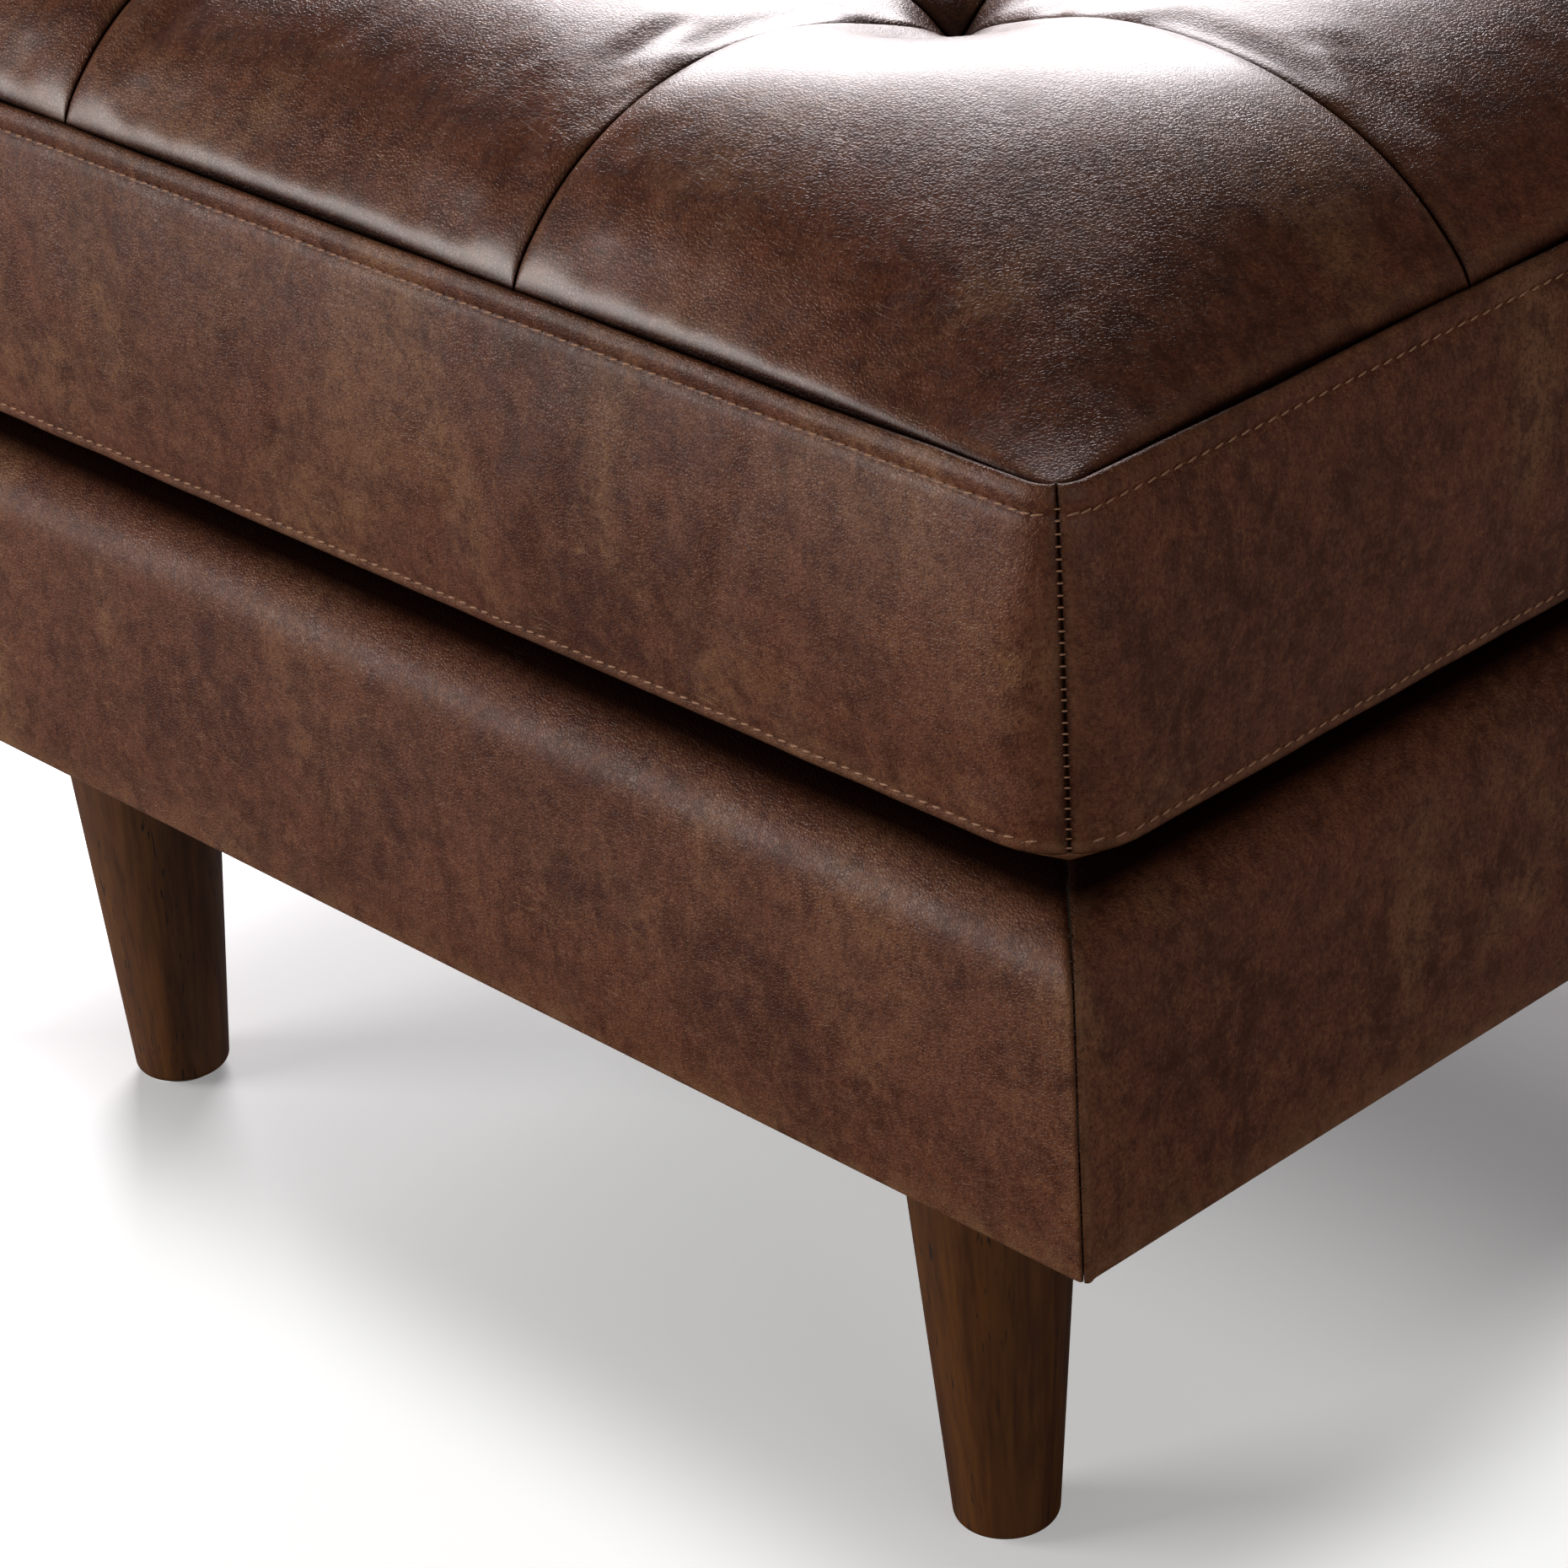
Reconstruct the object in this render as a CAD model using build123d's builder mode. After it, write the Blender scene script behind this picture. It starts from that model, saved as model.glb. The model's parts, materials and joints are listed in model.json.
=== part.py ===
from build123d import *
import os
from math import cos, degrees, radians, sqrt

os.makedirs("parts", exist_ok=True)

# A tufted leather ottoman, in millimetres: X along the long side, Y to the back, Z up.
# The origin is on the floor, under the middle of the ottoman.

# Overall sizes
overall_width = 680.0
overall_depth = 550.0
floor_gap = 184.5
base_height = 121.0
boxing_height = 117.5

# Clearances shared by all pieces
soft_gap = 0.3
seam_gap = 0.8
cut_overrun = 5.0
quarter_turn = 90.0

# Leather, cloth and padding
leather_thickness = 1.8
dust_cover_thickness = 1.0
deck_cloth_thickness = 1.0
side_padding_thickness = 6.0
webbing_thickness = 1.6

# Base upholstery
roll_radius = 28.0
base_corner_radius = 2.5
turned_under = 24.0
deck_flange = 75.0
dust_cover_margin = 10.0

# Timber frame
rail_thickness = 22.0
bearer_width = 90.0
bearer_thickness = 22.0
corner_block_leg = 40.0
corner_block_height = 65.0
dowel_radius = 4.0
dowel_length = 44.0
dowel_spacing = 50.0
dowel_fit = 0.1
dowel_chamfer = 1.0
frame_screw_radius = 2.2
frame_screw_length = 60.0
frame_screw_head_radius = 4.2
frame_screw_spacing = 50.0
screw_fit = 0.15

# Webbing and its staples
webbing_width = 60.0
lengthwise_straps = 4
crosswise_straps = 5
strap_lap = 14.0
strap_ramp = 6.0
staple_wire = 1.0
staple_crown = 11.0
staple_leg = 7.0
staple_fit = 0.1
strap_staple_spacing = 26.0
cover_staple_pitch = 62.0
cover_staple_inset = 17.0

# Legs and their fixings
leg_top_radius = 32.0
leg_foot_radius = 18.0
leg_foot_rounding = 3.5
leg_top_rounding = 1.0
leg_end_inset = 118.0
leg_side_inset = 80.0
glide_radius = 13.0
glide_thickness = 2.5
glide_edge = 0.8
glide_nail_radius = 1.2
glide_nail_length = 18.0
bolt_radius = 4.0
bolt_in_leg = 45.0
bolt_above_nut = 4.0
bolt_fit = 0.15
nut_barrel_radius = 5.2
nut_flange_radius = 12.0
nut_flange_thickness = 1.6
nut_barrel_length = 12.0

# Cushion
columns = 3
rows = 3
tuft_spacing_across = 223.0
tuft_spacing_back = 166.0
cushion_inset = 5.0
cushion_corner_radius = 24.0
underside_crown = 15.5
underside_slope = 45.0
boxing_bulge = 4.0
seam_band_height = 8.0
seam_band_thickness = 4.0
stitch_dip = 1.2
panel_drop = 1.5
ridge_bow = 3.0
outer_seam_crown = 46.5
inner_seam_crown = 45.0
tuft_height = 20.0
corner_panel_crown = 50.0
side_panel_crown = 52.5
centre_panel_crown = 54.0
pad_edge_thickness = 3.0
tie_radius = 1.2
tie_knot_radius = 4.0
tie_knot_thickness = 2.0
anchor_radius = 9.0
anchor_thickness = 3.0

# Zip in the back boxing
zip_length = 440.0
zip_slot_margin = 6.0
zip_slot_height = 10.0
zip_tape_height = 20.0
zip_tape_thickness = 0.8
zip_set_back = 0.5
zip_neck_height = 2.4
zip_neck_thickness = 0.8
zip_head_height = 5.0
zip_head_thickness = 1.4
zip_spine_height = 2.0
zip_tooth_pitch = 4.0
zip_tooth_width = 2.8
zip_stop_length = 4.0
slider_length = 12.0
slider_wall = 0.9
slider_fit = 0.15

# Levels above the floor
base_bottom = floor_gap
leather_bottom = base_bottom + dust_cover_thickness
rail_bottom = leather_bottom + leather_thickness
base_top = base_bottom + base_height
rail_top = base_top - roll_radius
rail_height = rail_top - rail_bottom
staple_top = rail_top + webbing_thickness + staple_wire
webbing_top = rail_top + 2 * webbing_thickness + soft_gap
deck_cloth_bottom = base_top - deck_cloth_thickness
cushion_bottom = base_top + soft_gap
core_bottom = cushion_bottom + leather_thickness
underside_rim = cushion_bottom + underside_crown
boxing_bottom = core_bottom + underside_crown
cushion_ridge = boxing_bottom + boxing_height
panel_rim = cushion_ridge - panel_drop
foam_top = panel_rim - leather_thickness - pad_edge_thickness

# Places in plan
frame_inset = leather_thickness + soft_gap + side_padding_thickness
frame_width = overall_width - 2 * frame_inset
frame_depth = overall_depth - 2 * frame_inset
frame_inner_width = frame_width - 2 * rail_thickness
frame_inner_depth = frame_depth - 2 * rail_thickness
leg_x = overall_width / 2 - leg_end_inset
leg_y = overall_depth / 2 - leg_side_inset
leg_places = {
    "front_left": (-leg_x, -leg_y),
    "front_right": (leg_x, -leg_y),
    "back_left": (-leg_x, leg_y),
    "back_right": (leg_x, leg_y),
}
cushion_width = overall_width - 2 * cushion_inset
cushion_depth = overall_depth - 2 * cushion_inset
panel_inset = seam_band_thickness + soft_gap
top_width = cushion_width - 2 * panel_inset
top_depth = cushion_depth - 2 * panel_inset
flat_width = cushion_width - 2 * underside_slope
flat_depth = cushion_depth - 2 * underside_slope
tuft_columns = (-tuft_spacing_across / 2, tuft_spacing_across / 2)
tuft_rows = (-tuft_spacing_back / 2, tuft_spacing_back / 2)
column_lines = (-top_width / 2, *tuft_columns, top_width / 2)
row_lines = (-top_depth / 2, *tuft_rows, top_depth / 2)
tuft_places = [(x, y) for x in tuft_columns for y in tuft_rows]

# Each side of the base and cushion: its turn about Z, its own length and the size across it
sides = {
    "front": (0, overall_width, overall_depth),
    "right": (quarter_turn, overall_depth, overall_width),
    "back": (2 * quarter_turn, overall_width, overall_depth),
    "left": (3 * quarter_turn, overall_depth, overall_width),
}


def save(builder, name):
    """Label a finished piece and write its file."""
    builder.part.label = name
    export_step(builder.part, f"parts/{name}.step")


def level_plane(height, turn=0):
    """A level plane, turned about Z so that one side of the ottoman faces its -Y."""
    return Plane.XY.rotated((0, 0, turn)).offset(height)


def section_plane(turn, along=0):
    """An upright plane across one side: its x runs inward, its y runs up."""
    inward = Vector(0, 1, 0).rotate(Axis.Z, turn)
    lengthwise = Vector(1, 0, 0).rotate(Axis.Z, turn)
    return Plane(origin=(0, 0, 0), x_dir=inward, z_dir=lengthwise).offset(along)


def mitred_region(turn, length, across, reach, corner_radius):
    """The space that one side keeps between its two mitred corner seams."""
    half = length / 2 - seam_gap / 2
    edge = across / 2
    with BuildPart() as region:
        with BuildSketch(level_plane(0, turn)):
            with BuildLine():
                Polyline(
                    (-half - cut_overrun, -edge - cut_overrun),
                    (half + cut_overrun, -edge - cut_overrun),
                    (half - reach, -edge + reach),
                    (-half + reach, -edge + reach),
                    close=True,
                )
            make_face()
            RectangleRounded(length, across, corner_radius, mode=Mode.INTERSECT)
        extrude(amount=cushion_ridge)
    return region.part


# Legs, glides, hanger bolts and T-nuts
def make_leg(place):
    """A round leg that tapers to a rounded foot, bored for its hanger bolt."""
    x, y = place
    with BuildPart() as leg:
        with BuildSketch(Plane(origin=(x, y, 0), x_dir=(1, 0, 0), z_dir=(0, -1, 0))) as profile:
            with BuildLine():
                Polyline(
                    (0, glide_thickness),
                    (leg_foot_radius, glide_thickness),
                    (leg_top_radius, base_bottom),
                    (0, base_bottom),
                    close=True,
                )
            make_face()
            foot = profile.vertices().group_by(Axis.Y)[0].sort_by(Axis.X)[-1]
            fillet(foot, leg_foot_rounding)
            rim = profile.vertices().group_by(Axis.Y)[-1].sort_by(Axis.X)[-1]
            fillet(rim, leg_top_rounding)
        revolve(axis=Axis((x, y, 0), (0, 0, 1)))
        with BuildSketch(level_plane(base_bottom)):
            with Locations((x, y)):
                Circle(bolt_radius + bolt_fit)
        extrude(amount=-bolt_in_leg - bolt_fit, mode=Mode.SUBTRACT)
        with BuildSketch(level_plane(glide_thickness)):
            with Locations((x, y)):
                Circle(glide_nail_radius + screw_fit)
        extrude(amount=glide_nail_length + screw_fit, mode=Mode.SUBTRACT)
    return leg


def make_glide(place):
    """A nail-on glide: a low disc under the foot with its nail."""
    with BuildPart() as glide:
        with BuildSketch(level_plane(0)):
            with Locations(place):
                Circle(glide_radius)
        extrude(amount=glide_thickness)
        chamfer(glide.edges().group_by(Axis.Z)[0], glide_edge)
        with BuildSketch(level_plane(glide_thickness)):
            with Locations(place):
                Circle(glide_nail_radius)
        extrude(amount=glide_nail_length)
    return glide


for corner, place in leg_places.items():
    save(make_leg(place), f"{corner}_leg")
    save(make_glide(place), f"{corner}_glide")

bearer_bottom = leather_bottom
bearer_top = bearer_bottom + bearer_thickness
bolt_top = bearer_top + nut_flange_thickness + bolt_above_nut

with BuildPart() as hanger_bolts:
    with BuildSketch(level_plane(base_bottom - bolt_in_leg)):
        with Locations(*leg_places.values()):
            Circle(bolt_radius)
    extrude(amount=bolt_top - base_bottom + bolt_in_leg)
save(hanger_bolts, "hanger_bolts")

with BuildPart() as t_nuts:
    with BuildSketch(level_plane(bearer_top)):
        with Locations(*leg_places.values()):
            Circle(nut_flange_radius)
    extrude(amount=nut_flange_thickness)
    with BuildSketch(level_plane(bearer_top)):
        with Locations(*leg_places.values()):
            Circle(nut_barrel_radius)
    extrude(amount=-nut_barrel_length)
    with BuildSketch(level_plane(bearer_top + nut_flange_thickness)):
        with Locations(*leg_places.values()):
            Circle(bolt_radius + bolt_fit)
    extrude(amount=-nut_barrel_length - nut_flange_thickness, mode=Mode.SUBTRACT)
save(t_nuts, "t_nuts")


# Frame screws through the front and back rails into the ends of the leg bearers
screw_level = bearer_bottom + bearer_thickness / 2
screw_xs = [
    side * leg_x + offset
    for side in (-1, 1)
    for offset in (-frame_screw_spacing / 2, frame_screw_spacing / 2)
]
screw_ends = {"front": -frame_depth / 2, "back": frame_depth / 2}


def screw_set(end, fit):
    """The four screws of one rail, heads flush with its outer face, or the holes that they need."""
    inward = -1 if end == "back" else 1
    head_depth = frame_screw_head_radius - frame_screw_radius
    with BuildPart() as screws:
        for x in screw_xs:
            centre = (x, screw_ends[end], screw_level)
            with BuildSketch(Plane(origin=centre, x_dir=(1, 0, 0), z_dir=(0, 0, inward))):
                with BuildLine():
                    Polyline(
                        (0, 0),
                        (frame_screw_head_radius + fit, 0),
                        (frame_screw_radius + fit, head_depth + fit),
                        (frame_screw_radius + fit, frame_screw_length + fit),
                        (0, frame_screw_length + fit),
                        close=True,
                    )
                make_face()
            revolve(axis=Axis(centre, (0, 1, 0)))
    return screws.part


screw_holes = [screw_set(end, screw_fit) for end in screw_ends]

with BuildPart() as bearer_screws:
    add([screw_set(end, 0) for end in screw_ends])
save(bearer_screws, "bearer_screws")

# Dowels between the long rails and the ends of the side rails
dowel_x = frame_width / 2 - rail_thickness / 2
dowel_levels = [
    rail_bottom + rail_height / 2 - dowel_spacing / 2,
    rail_bottom + rail_height / 2 + dowel_spacing / 2,
]
joint_y = frame_inner_depth / 2


def dowel_set(fit):
    """The eight dowels across the four rail joints, or the holes that they need."""
    with BuildPart() as dowels:
        for y in (-joint_y, joint_y):
            with BuildSketch(Plane(origin=(0, y, 0), x_dir=(1, 0, 0), z_dir=(0, 1, 0))):
                with Locations(*[(x, -z) for x in (-dowel_x, dowel_x) for z in dowel_levels]):
                    Circle(dowel_radius + fit)
            extrude(amount=dowel_length / 2 + fit, both=True)
    return dowels.part


dowel_holes = dowel_set(dowel_fit)

with BuildPart() as rail_dowels:
    add(dowel_set(0))
    chamfer(rail_dowels.edges().filter_by(GeomType.CIRCLE), dowel_chamfer)
save(rail_dowels, "rail_dowels")

# Places of the straps and of the staples, shared by the staples and by what they go through
def spread(count, span):
    """Even places for a number of straps, each in the middle of its share of the frame's opening."""
    return [(index - (count - 1) / 2) * span / count for index in range(count)]


strap_rows = spread(lengthwise_straps, frame_inner_depth)
strap_columns = spread(crosswise_straps, frame_inner_width)
strap_staple_offsets = (-strap_staple_spacing / 2, strap_staple_spacing / 2)
strap_end_x = frame_width / 2 - rail_thickness + strap_lap
strap_end_y = frame_depth / 2 - rail_thickness + strap_lap
strap_staple_x = strap_end_x - strap_lap / 2
strap_staple_y = strap_end_y - strap_lap / 2
side_strap_staples = [
    (x, row + offset)
    for x in (-strap_staple_x, strap_staple_x)
    for row in strap_rows
    for offset in strap_staple_offsets
]
long_strap_staples = [
    (column + offset, y)
    for y in (-strap_staple_y, strap_staple_y)
    for column in strap_columns
    for offset in strap_staple_offsets
]


def staple_row(length):
    """Even places for cover staples along one side."""
    count = int((length - 2 * cover_staple_pitch) / cover_staple_pitch) + 1
    return [(index - (count - 1) / 2) * cover_staple_pitch for index in range(count)]


cover_long_staples = [
    (x, y)
    for x in staple_row(overall_width)
    for y in (-overall_depth / 2 + cover_staple_inset, overall_depth / 2 - cover_staple_inset)
]
cover_side_staples = [
    (x, y)
    for x in (-overall_width / 2 + cover_staple_inset, overall_width / 2 - cover_staple_inset)
    for y in staple_row(overall_depth)
]


def staple_legs(level, places, along_x, amount, fit):
    """The legs of a group of staples, or the slots that they need."""
    reach = (staple_crown - staple_wire) / 2
    shift_x, shift_y = (reach, 0) if along_x else (0, reach)
    with BuildPart() as legs:
        with BuildSketch(level_plane(level)):
            with Locations(*[(x + s * shift_x, y + s * shift_y) for x, y in places for s in (-1, 1)]):
                Rectangle(staple_wire + 2 * fit, staple_wire + 2 * fit)
        extrude(amount=amount)
    return legs.part


def staple_group(crown_level, leg_level, places, along_x, amount):
    """Whole staples: flat crowns on one level and their legs from another."""
    size_x, size_y = (staple_crown, staple_wire) if along_x else (staple_wire, staple_crown)
    with BuildPart() as staples:
        with BuildSketch(level_plane(crown_level)):
            with Locations(*places):
                Rectangle(size_x, size_y)
        extrude(amount=staple_wire)
        add(staple_legs(leg_level, places, along_x, amount, 0))
    return staples.part


def strap_staple_slots(places, along_x):
    """Slots that the strap staples need, from above the straps down into a rail."""
    return staple_legs(staple_top, places, along_x, -staple_leg - staple_fit, staple_fit)


def cover_staple_slots(places, along_x):
    """Slots that the cover staples need, from under the base up into a rail."""
    return staple_legs(base_bottom - staple_wire, places, along_x, staple_leg + staple_fit, staple_fit)


with BuildPart() as webbing_staples:
    strap_crowns = staple_top - staple_wire
    add(staple_group(strap_crowns, staple_top, side_strap_staples, False, -staple_leg))
    add(staple_group(strap_crowns, staple_top, long_strap_staples, True, -staple_leg))
save(webbing_staples, "webbing_staples")

with BuildPart() as cover_staples:
    cover_crowns = base_bottom - staple_wire
    add(staple_group(cover_crowns, cover_crowns, cover_long_staples, True, staple_leg))
    add(staple_group(cover_crowns, cover_crowns, cover_side_staples, False, staple_leg))
save(cover_staples, "cover_staples")


# Timber frame
def make_long_rail(end):
    """The front or back rail, over the full width of the frame."""
    side = -1 if end == "front" else 1
    strap_slots = strap_staple_slots([spot for spot in long_strap_staples if spot[1] * side > 0], True)
    cover_slots = cover_staple_slots([spot for spot in cover_long_staples if spot[1] * side > 0], True)
    with BuildPart() as rail:
        with BuildSketch(level_plane(rail_bottom)):
            with Locations((0, side * (frame_depth - rail_thickness) / 2)):
                Rectangle(frame_width, rail_thickness)
        extrude(amount=rail_height)
        add(screw_holes + [dowel_holes, strap_slots, cover_slots], mode=Mode.SUBTRACT)
    return rail


def make_side_rail(side):
    """The left or right rail, between the long rails."""
    strap_slots = strap_staple_slots([spot for spot in side_strap_staples if spot[0] * side > 0], False)
    cover_slots = cover_staple_slots([spot for spot in cover_side_staples if spot[0] * side > 0], False)
    with BuildPart() as rail:
        with BuildSketch(level_plane(rail_bottom)):
            with Locations((side * (frame_width - rail_thickness) / 2, 0)):
                Rectangle(rail_thickness, frame_inner_depth)
        extrude(amount=rail_height)
        add([dowel_holes, strap_slots, cover_slots], mode=Mode.SUBTRACT)
    return rail


def make_bearer(side):
    """A board between the long rails that carries two legs."""
    with BuildPart() as bearer:
        with BuildSketch(level_plane(bearer_bottom)):
            with Locations((side * leg_x, 0)):
                Rectangle(bearer_width, frame_inner_depth)
            with Locations(*leg_places.values()):
                Circle(nut_barrel_radius + bolt_fit, mode=Mode.SUBTRACT)
        extrude(amount=bearer_thickness)
        add(screw_holes, mode=Mode.SUBTRACT)
    return bearer


save(make_long_rail("front"), "front_rail")
save(make_long_rail("back"), "back_rail")
save(make_side_rail(-1), "left_rail")
save(make_side_rail(1), "right_rail")
save(make_bearer(-1), "left_leg_bearer")
save(make_bearer(1), "right_leg_bearer")

with BuildPart() as corner_blocks:
    inner_x = frame_inner_width / 2
    inner_y = frame_inner_depth / 2
    with BuildSketch(level_plane(rail_bottom + (rail_height - corner_block_height) / 2)):
        for side_x in (-1, 1):
            for side_y in (-1, 1):
                with BuildLine():
                    Polyline(
                        (side_x * inner_x, side_y * inner_y),
                        (side_x * (inner_x - corner_block_leg), side_y * inner_y),
                        (side_x * inner_x, side_y * (inner_y - corner_block_leg)),
                        close=True,
                    )
                make_face()
    extrude(amount=corner_block_height)
save(corner_blocks, "corner_blocks")


# Woven webbing: at each crossing one strap runs over the other
def strap_outline(half_length, crossings, over_first):
    """The side view of one strap, on the rails at both ends and raised where it crosses over."""
    low = rail_top
    high = rail_top + webbing_thickness + soft_gap
    line = [(-half_length, low)]
    for number, centre in enumerate(crossings):
        if (number % 2 == 0) == over_first:
            reach = webbing_width / 2
            line += [
                (centre - reach - strap_ramp, low),
                (centre - reach, high),
                (centre + reach, high),
                (centre + reach + strap_ramp, low),
            ]
    line.append((half_length, low))
    return line + [(along, level + webbing_thickness) for along, level in reversed(line)]


def make_webbing(half_length, places, crossings, plane, slots, along_x):
    """All the straps of one direction, with slots for their staples."""
    with BuildPart() as webbing:
        for number, place in enumerate(places):
            outline = strap_outline(half_length, crossings, (number % 2 == 0) == along_x)
            with BuildSketch(plane.offset(place)):
                with BuildLine():
                    Polyline(*outline, close=True)
                make_face()
            extrude(amount=webbing_width / 2, both=True)
        add(slots, mode=Mode.SUBTRACT)
    return webbing


front_view = Plane(origin=(0, 0, 0), x_dir=(1, 0, 0), z_dir=(0, -1, 0))
lengthwise_places = [-row for row in strap_rows]
side_slots = strap_staple_slots(side_strap_staples, False)
long_slots = strap_staple_slots(long_strap_staples, True)
save(
    make_webbing(strap_end_x, lengthwise_places, strap_columns, front_view, side_slots, False),
    "webbing_lengthwise",
)
save(
    make_webbing(strap_end_y, strap_columns, strap_rows, Plane.YZ, long_slots, True),
    "webbing_crosswise",
)

# Deck: pad on the webbing, soft roll around the rim, cloth on top
with BuildPart() as deck_pad:
    pad_bottom = webbing_top + soft_gap
    pad_inset = 2 * (roll_radius + soft_gap)
    with BuildSketch(level_plane(pad_bottom)):
        Rectangle(overall_width - pad_inset, overall_depth - pad_inset)
    extrude(amount=base_top - leather_thickness - soft_gap - pad_bottom)
save(deck_pad, "deck_pad")

with BuildPart() as deck_cloth:
    with BuildSketch(level_plane(deck_cloth_bottom)):
        Rectangle(
            overall_width - 2 * (deck_flange + soft_gap),
            overall_depth - 2 * (deck_flange + soft_gap),
        )
    extrude(amount=deck_cloth_thickness)
save(deck_cloth, "deck_cloth")


def roll_stretch(turn, length, across):
    """One mitred stretch of the soft quarter-round roll on the rails."""
    radius = roll_radius - leather_thickness - soft_gap
    lift = staple_top + soft_gap - rail_top
    start = sqrt(radius**2 - lift**2)
    middle = radius * cos(radians(quarter_turn / 2))
    edge = -across / 2 + roll_radius
    region = mitred_region(turn, length, across, roll_radius, base_corner_radius)
    with BuildPart() as stretch:
        with BuildSketch(section_plane(turn)):
            with BuildLine():
                Line((edge, rail_top + lift), (edge - start, rail_top + lift))
                ThreePointArc(
                    (edge - start, rail_top + lift),
                    (edge - middle, rail_top + middle),
                    (edge, rail_top + radius),
                )
                Line((edge, rail_top + radius), (edge, rail_top + lift))
            make_face()
        extrude(amount=length / 2, both=True)
        add(region, mode=Mode.INTERSECT)
    return stretch.part


with BuildPart() as edge_roll:
    add([roll_stretch(*side) for side in sides.values()])
save(edge_roll, "edge_roll")


# Side padding, base leather and dust cover
def padding_slab(turn, length, across):
    """One mitred slab of padding on the outer face of a rail."""
    region = mitred_region(turn, length, across, frame_inset, base_corner_radius)
    edge = -across / 2 + leather_thickness + soft_gap
    with BuildPart() as slab:
        with BuildSketch(section_plane(turn)):
            with BuildLine():
                Polyline(
                    (edge, rail_bottom),
                    (edge + side_padding_thickness, rail_bottom),
                    (edge + side_padding_thickness, rail_top),
                    (edge, rail_top),
                    close=True,
                )
            make_face()
        extrude(amount=length / 2 - leather_thickness - soft_gap, both=True)
        add(region, mode=Mode.INTERSECT)
    return slab.part


with BuildPart() as side_padding:
    add([padding_slab(*side) for side in sides.values()])
save(side_padding, "side_padding")

cover_slots = [
    cover_staple_slots(cover_long_staples, True),
    cover_staple_slots(cover_side_staples, False),
]


def make_base_cover(turn, length, across):
    """One side's leather: turned under the rail, up the side, over the roll and onto the deck."""
    edge = -across / 2
    inner_radius = roll_radius - leather_thickness
    centre = edge + roll_radius
    half_chord = cos(radians(quarter_turn / 2))
    region = mitred_region(turn, length, across, deck_flange + cut_overrun, base_corner_radius)
    with BuildPart() as cover:
        with BuildSketch(section_plane(turn)):
            with BuildLine():
                Polyline(
                    (centre, base_top),
                    (edge + deck_flange, base_top),
                    (edge + deck_flange, base_top - leather_thickness),
                    (centre, base_top - leather_thickness),
                )
                ThreePointArc(
                    (centre, rail_top + inner_radius),
                    (centre - inner_radius * half_chord, rail_top + inner_radius * half_chord),
                    (centre - inner_radius, rail_top),
                )
                Polyline(
                    (centre - inner_radius, rail_top),
                    (centre - inner_radius, rail_bottom),
                    (edge + turned_under, rail_bottom),
                    (edge + turned_under, leather_bottom),
                    (edge, leather_bottom),
                    (edge, rail_top),
                )
                ThreePointArc(
                    (edge, rail_top),
                    (centre - roll_radius * half_chord, rail_top + roll_radius * half_chord),
                    (centre, base_top),
                )
            make_face()
        extrude(amount=length / 2, both=True)
        add(region, mode=Mode.INTERSECT)
        add(cover_slots, mode=Mode.SUBTRACT)
    return cover


for side, (turn, length, across) in sides.items():
    save(make_base_cover(turn, length, across), f"base_cover_{side}")

with BuildPart() as dust_cover:
    with BuildSketch(level_plane(base_bottom)):
        Rectangle(overall_width - 2 * dust_cover_margin, overall_depth - 2 * dust_cover_margin)
        with Locations(*leg_places.values()):
            Circle(bolt_radius + bolt_fit, mode=Mode.SUBTRACT)
    extrude(amount=dust_cover_thickness)
    add(cover_slots, mode=Mode.SUBTRACT)
save(dust_cover, "dust_cover")


# Cushion: bottom panel, foam core and the pads and leather of the nine biscuits
def crowned_underside(flat_level, rim_level):
    """The space from a flat middle, which lies on the deck, up along the slopes to the lower seam."""
    with BuildPart() as underside:
        with BuildSketch(level_plane(flat_level)):
            RectangleRounded(flat_width, flat_depth, cushion_corner_radius)
        with BuildSketch(level_plane(rim_level)):
            RectangleRounded(cushion_width, cushion_depth, cushion_corner_radius)
        loft()
    return underside.part


with BuildPart() as cushion_bottom_panel:
    add(crowned_underside(cushion_bottom, underside_rim))
    with BuildSketch(level_plane(underside_rim)):
        RectangleRounded(cushion_width, cushion_depth, cushion_corner_radius)
    extrude(amount=leather_thickness)
    add(crowned_underside(core_bottom, boxing_bottom), mode=Mode.SUBTRACT)
save(cushion_bottom_panel, "cushion_bottom_panel")

knot_bottom = core_bottom + soft_gap
anchor_bottom = knot_bottom + tie_knot_thickness
anchor_top = anchor_bottom + anchor_thickness
tie_top = panel_rim + tuft_height - leather_thickness - soft_gap


def tuft_set(radius, bottom, top):
    """One upright round piece, or the hole for it, at each tuft."""
    with BuildPart() as rounds:
        with BuildSketch(level_plane(bottom)):
            with Locations(*tuft_places):
                Circle(radius)
        extrude(amount=top - bottom)
    return rounds.part


anchor_recess = tuft_set(anchor_radius + soft_gap, core_bottom, anchor_top + soft_gap)
tie_hole = tuft_set(tie_radius + soft_gap, core_bottom, cushion_ridge + tuft_height)
knot_recess = tuft_set(
    tie_knot_radius + soft_gap,
    tie_top - tie_knot_thickness - soft_gap,
    tie_top + tie_knot_thickness + inner_seam_crown,
)

with BuildPart() as cushion_core:
    with BuildSketch(level_plane(core_bottom)):
        RectangleRounded(flat_width, flat_depth, cushion_corner_radius)
    with BuildSketch(level_plane(boxing_bottom)):
        RectangleRounded(top_width, top_depth, cushion_corner_radius - panel_inset)
    loft()
    with BuildSketch(level_plane(boxing_bottom)):
        RectangleRounded(top_width, top_depth, cushion_corner_radius - panel_inset)
    extrude(amount=foam_top - boxing_bottom)
    add([anchor_recess, tie_hole], mode=Mode.SUBTRACT)
save(cushion_core, "cushion_core")

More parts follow.
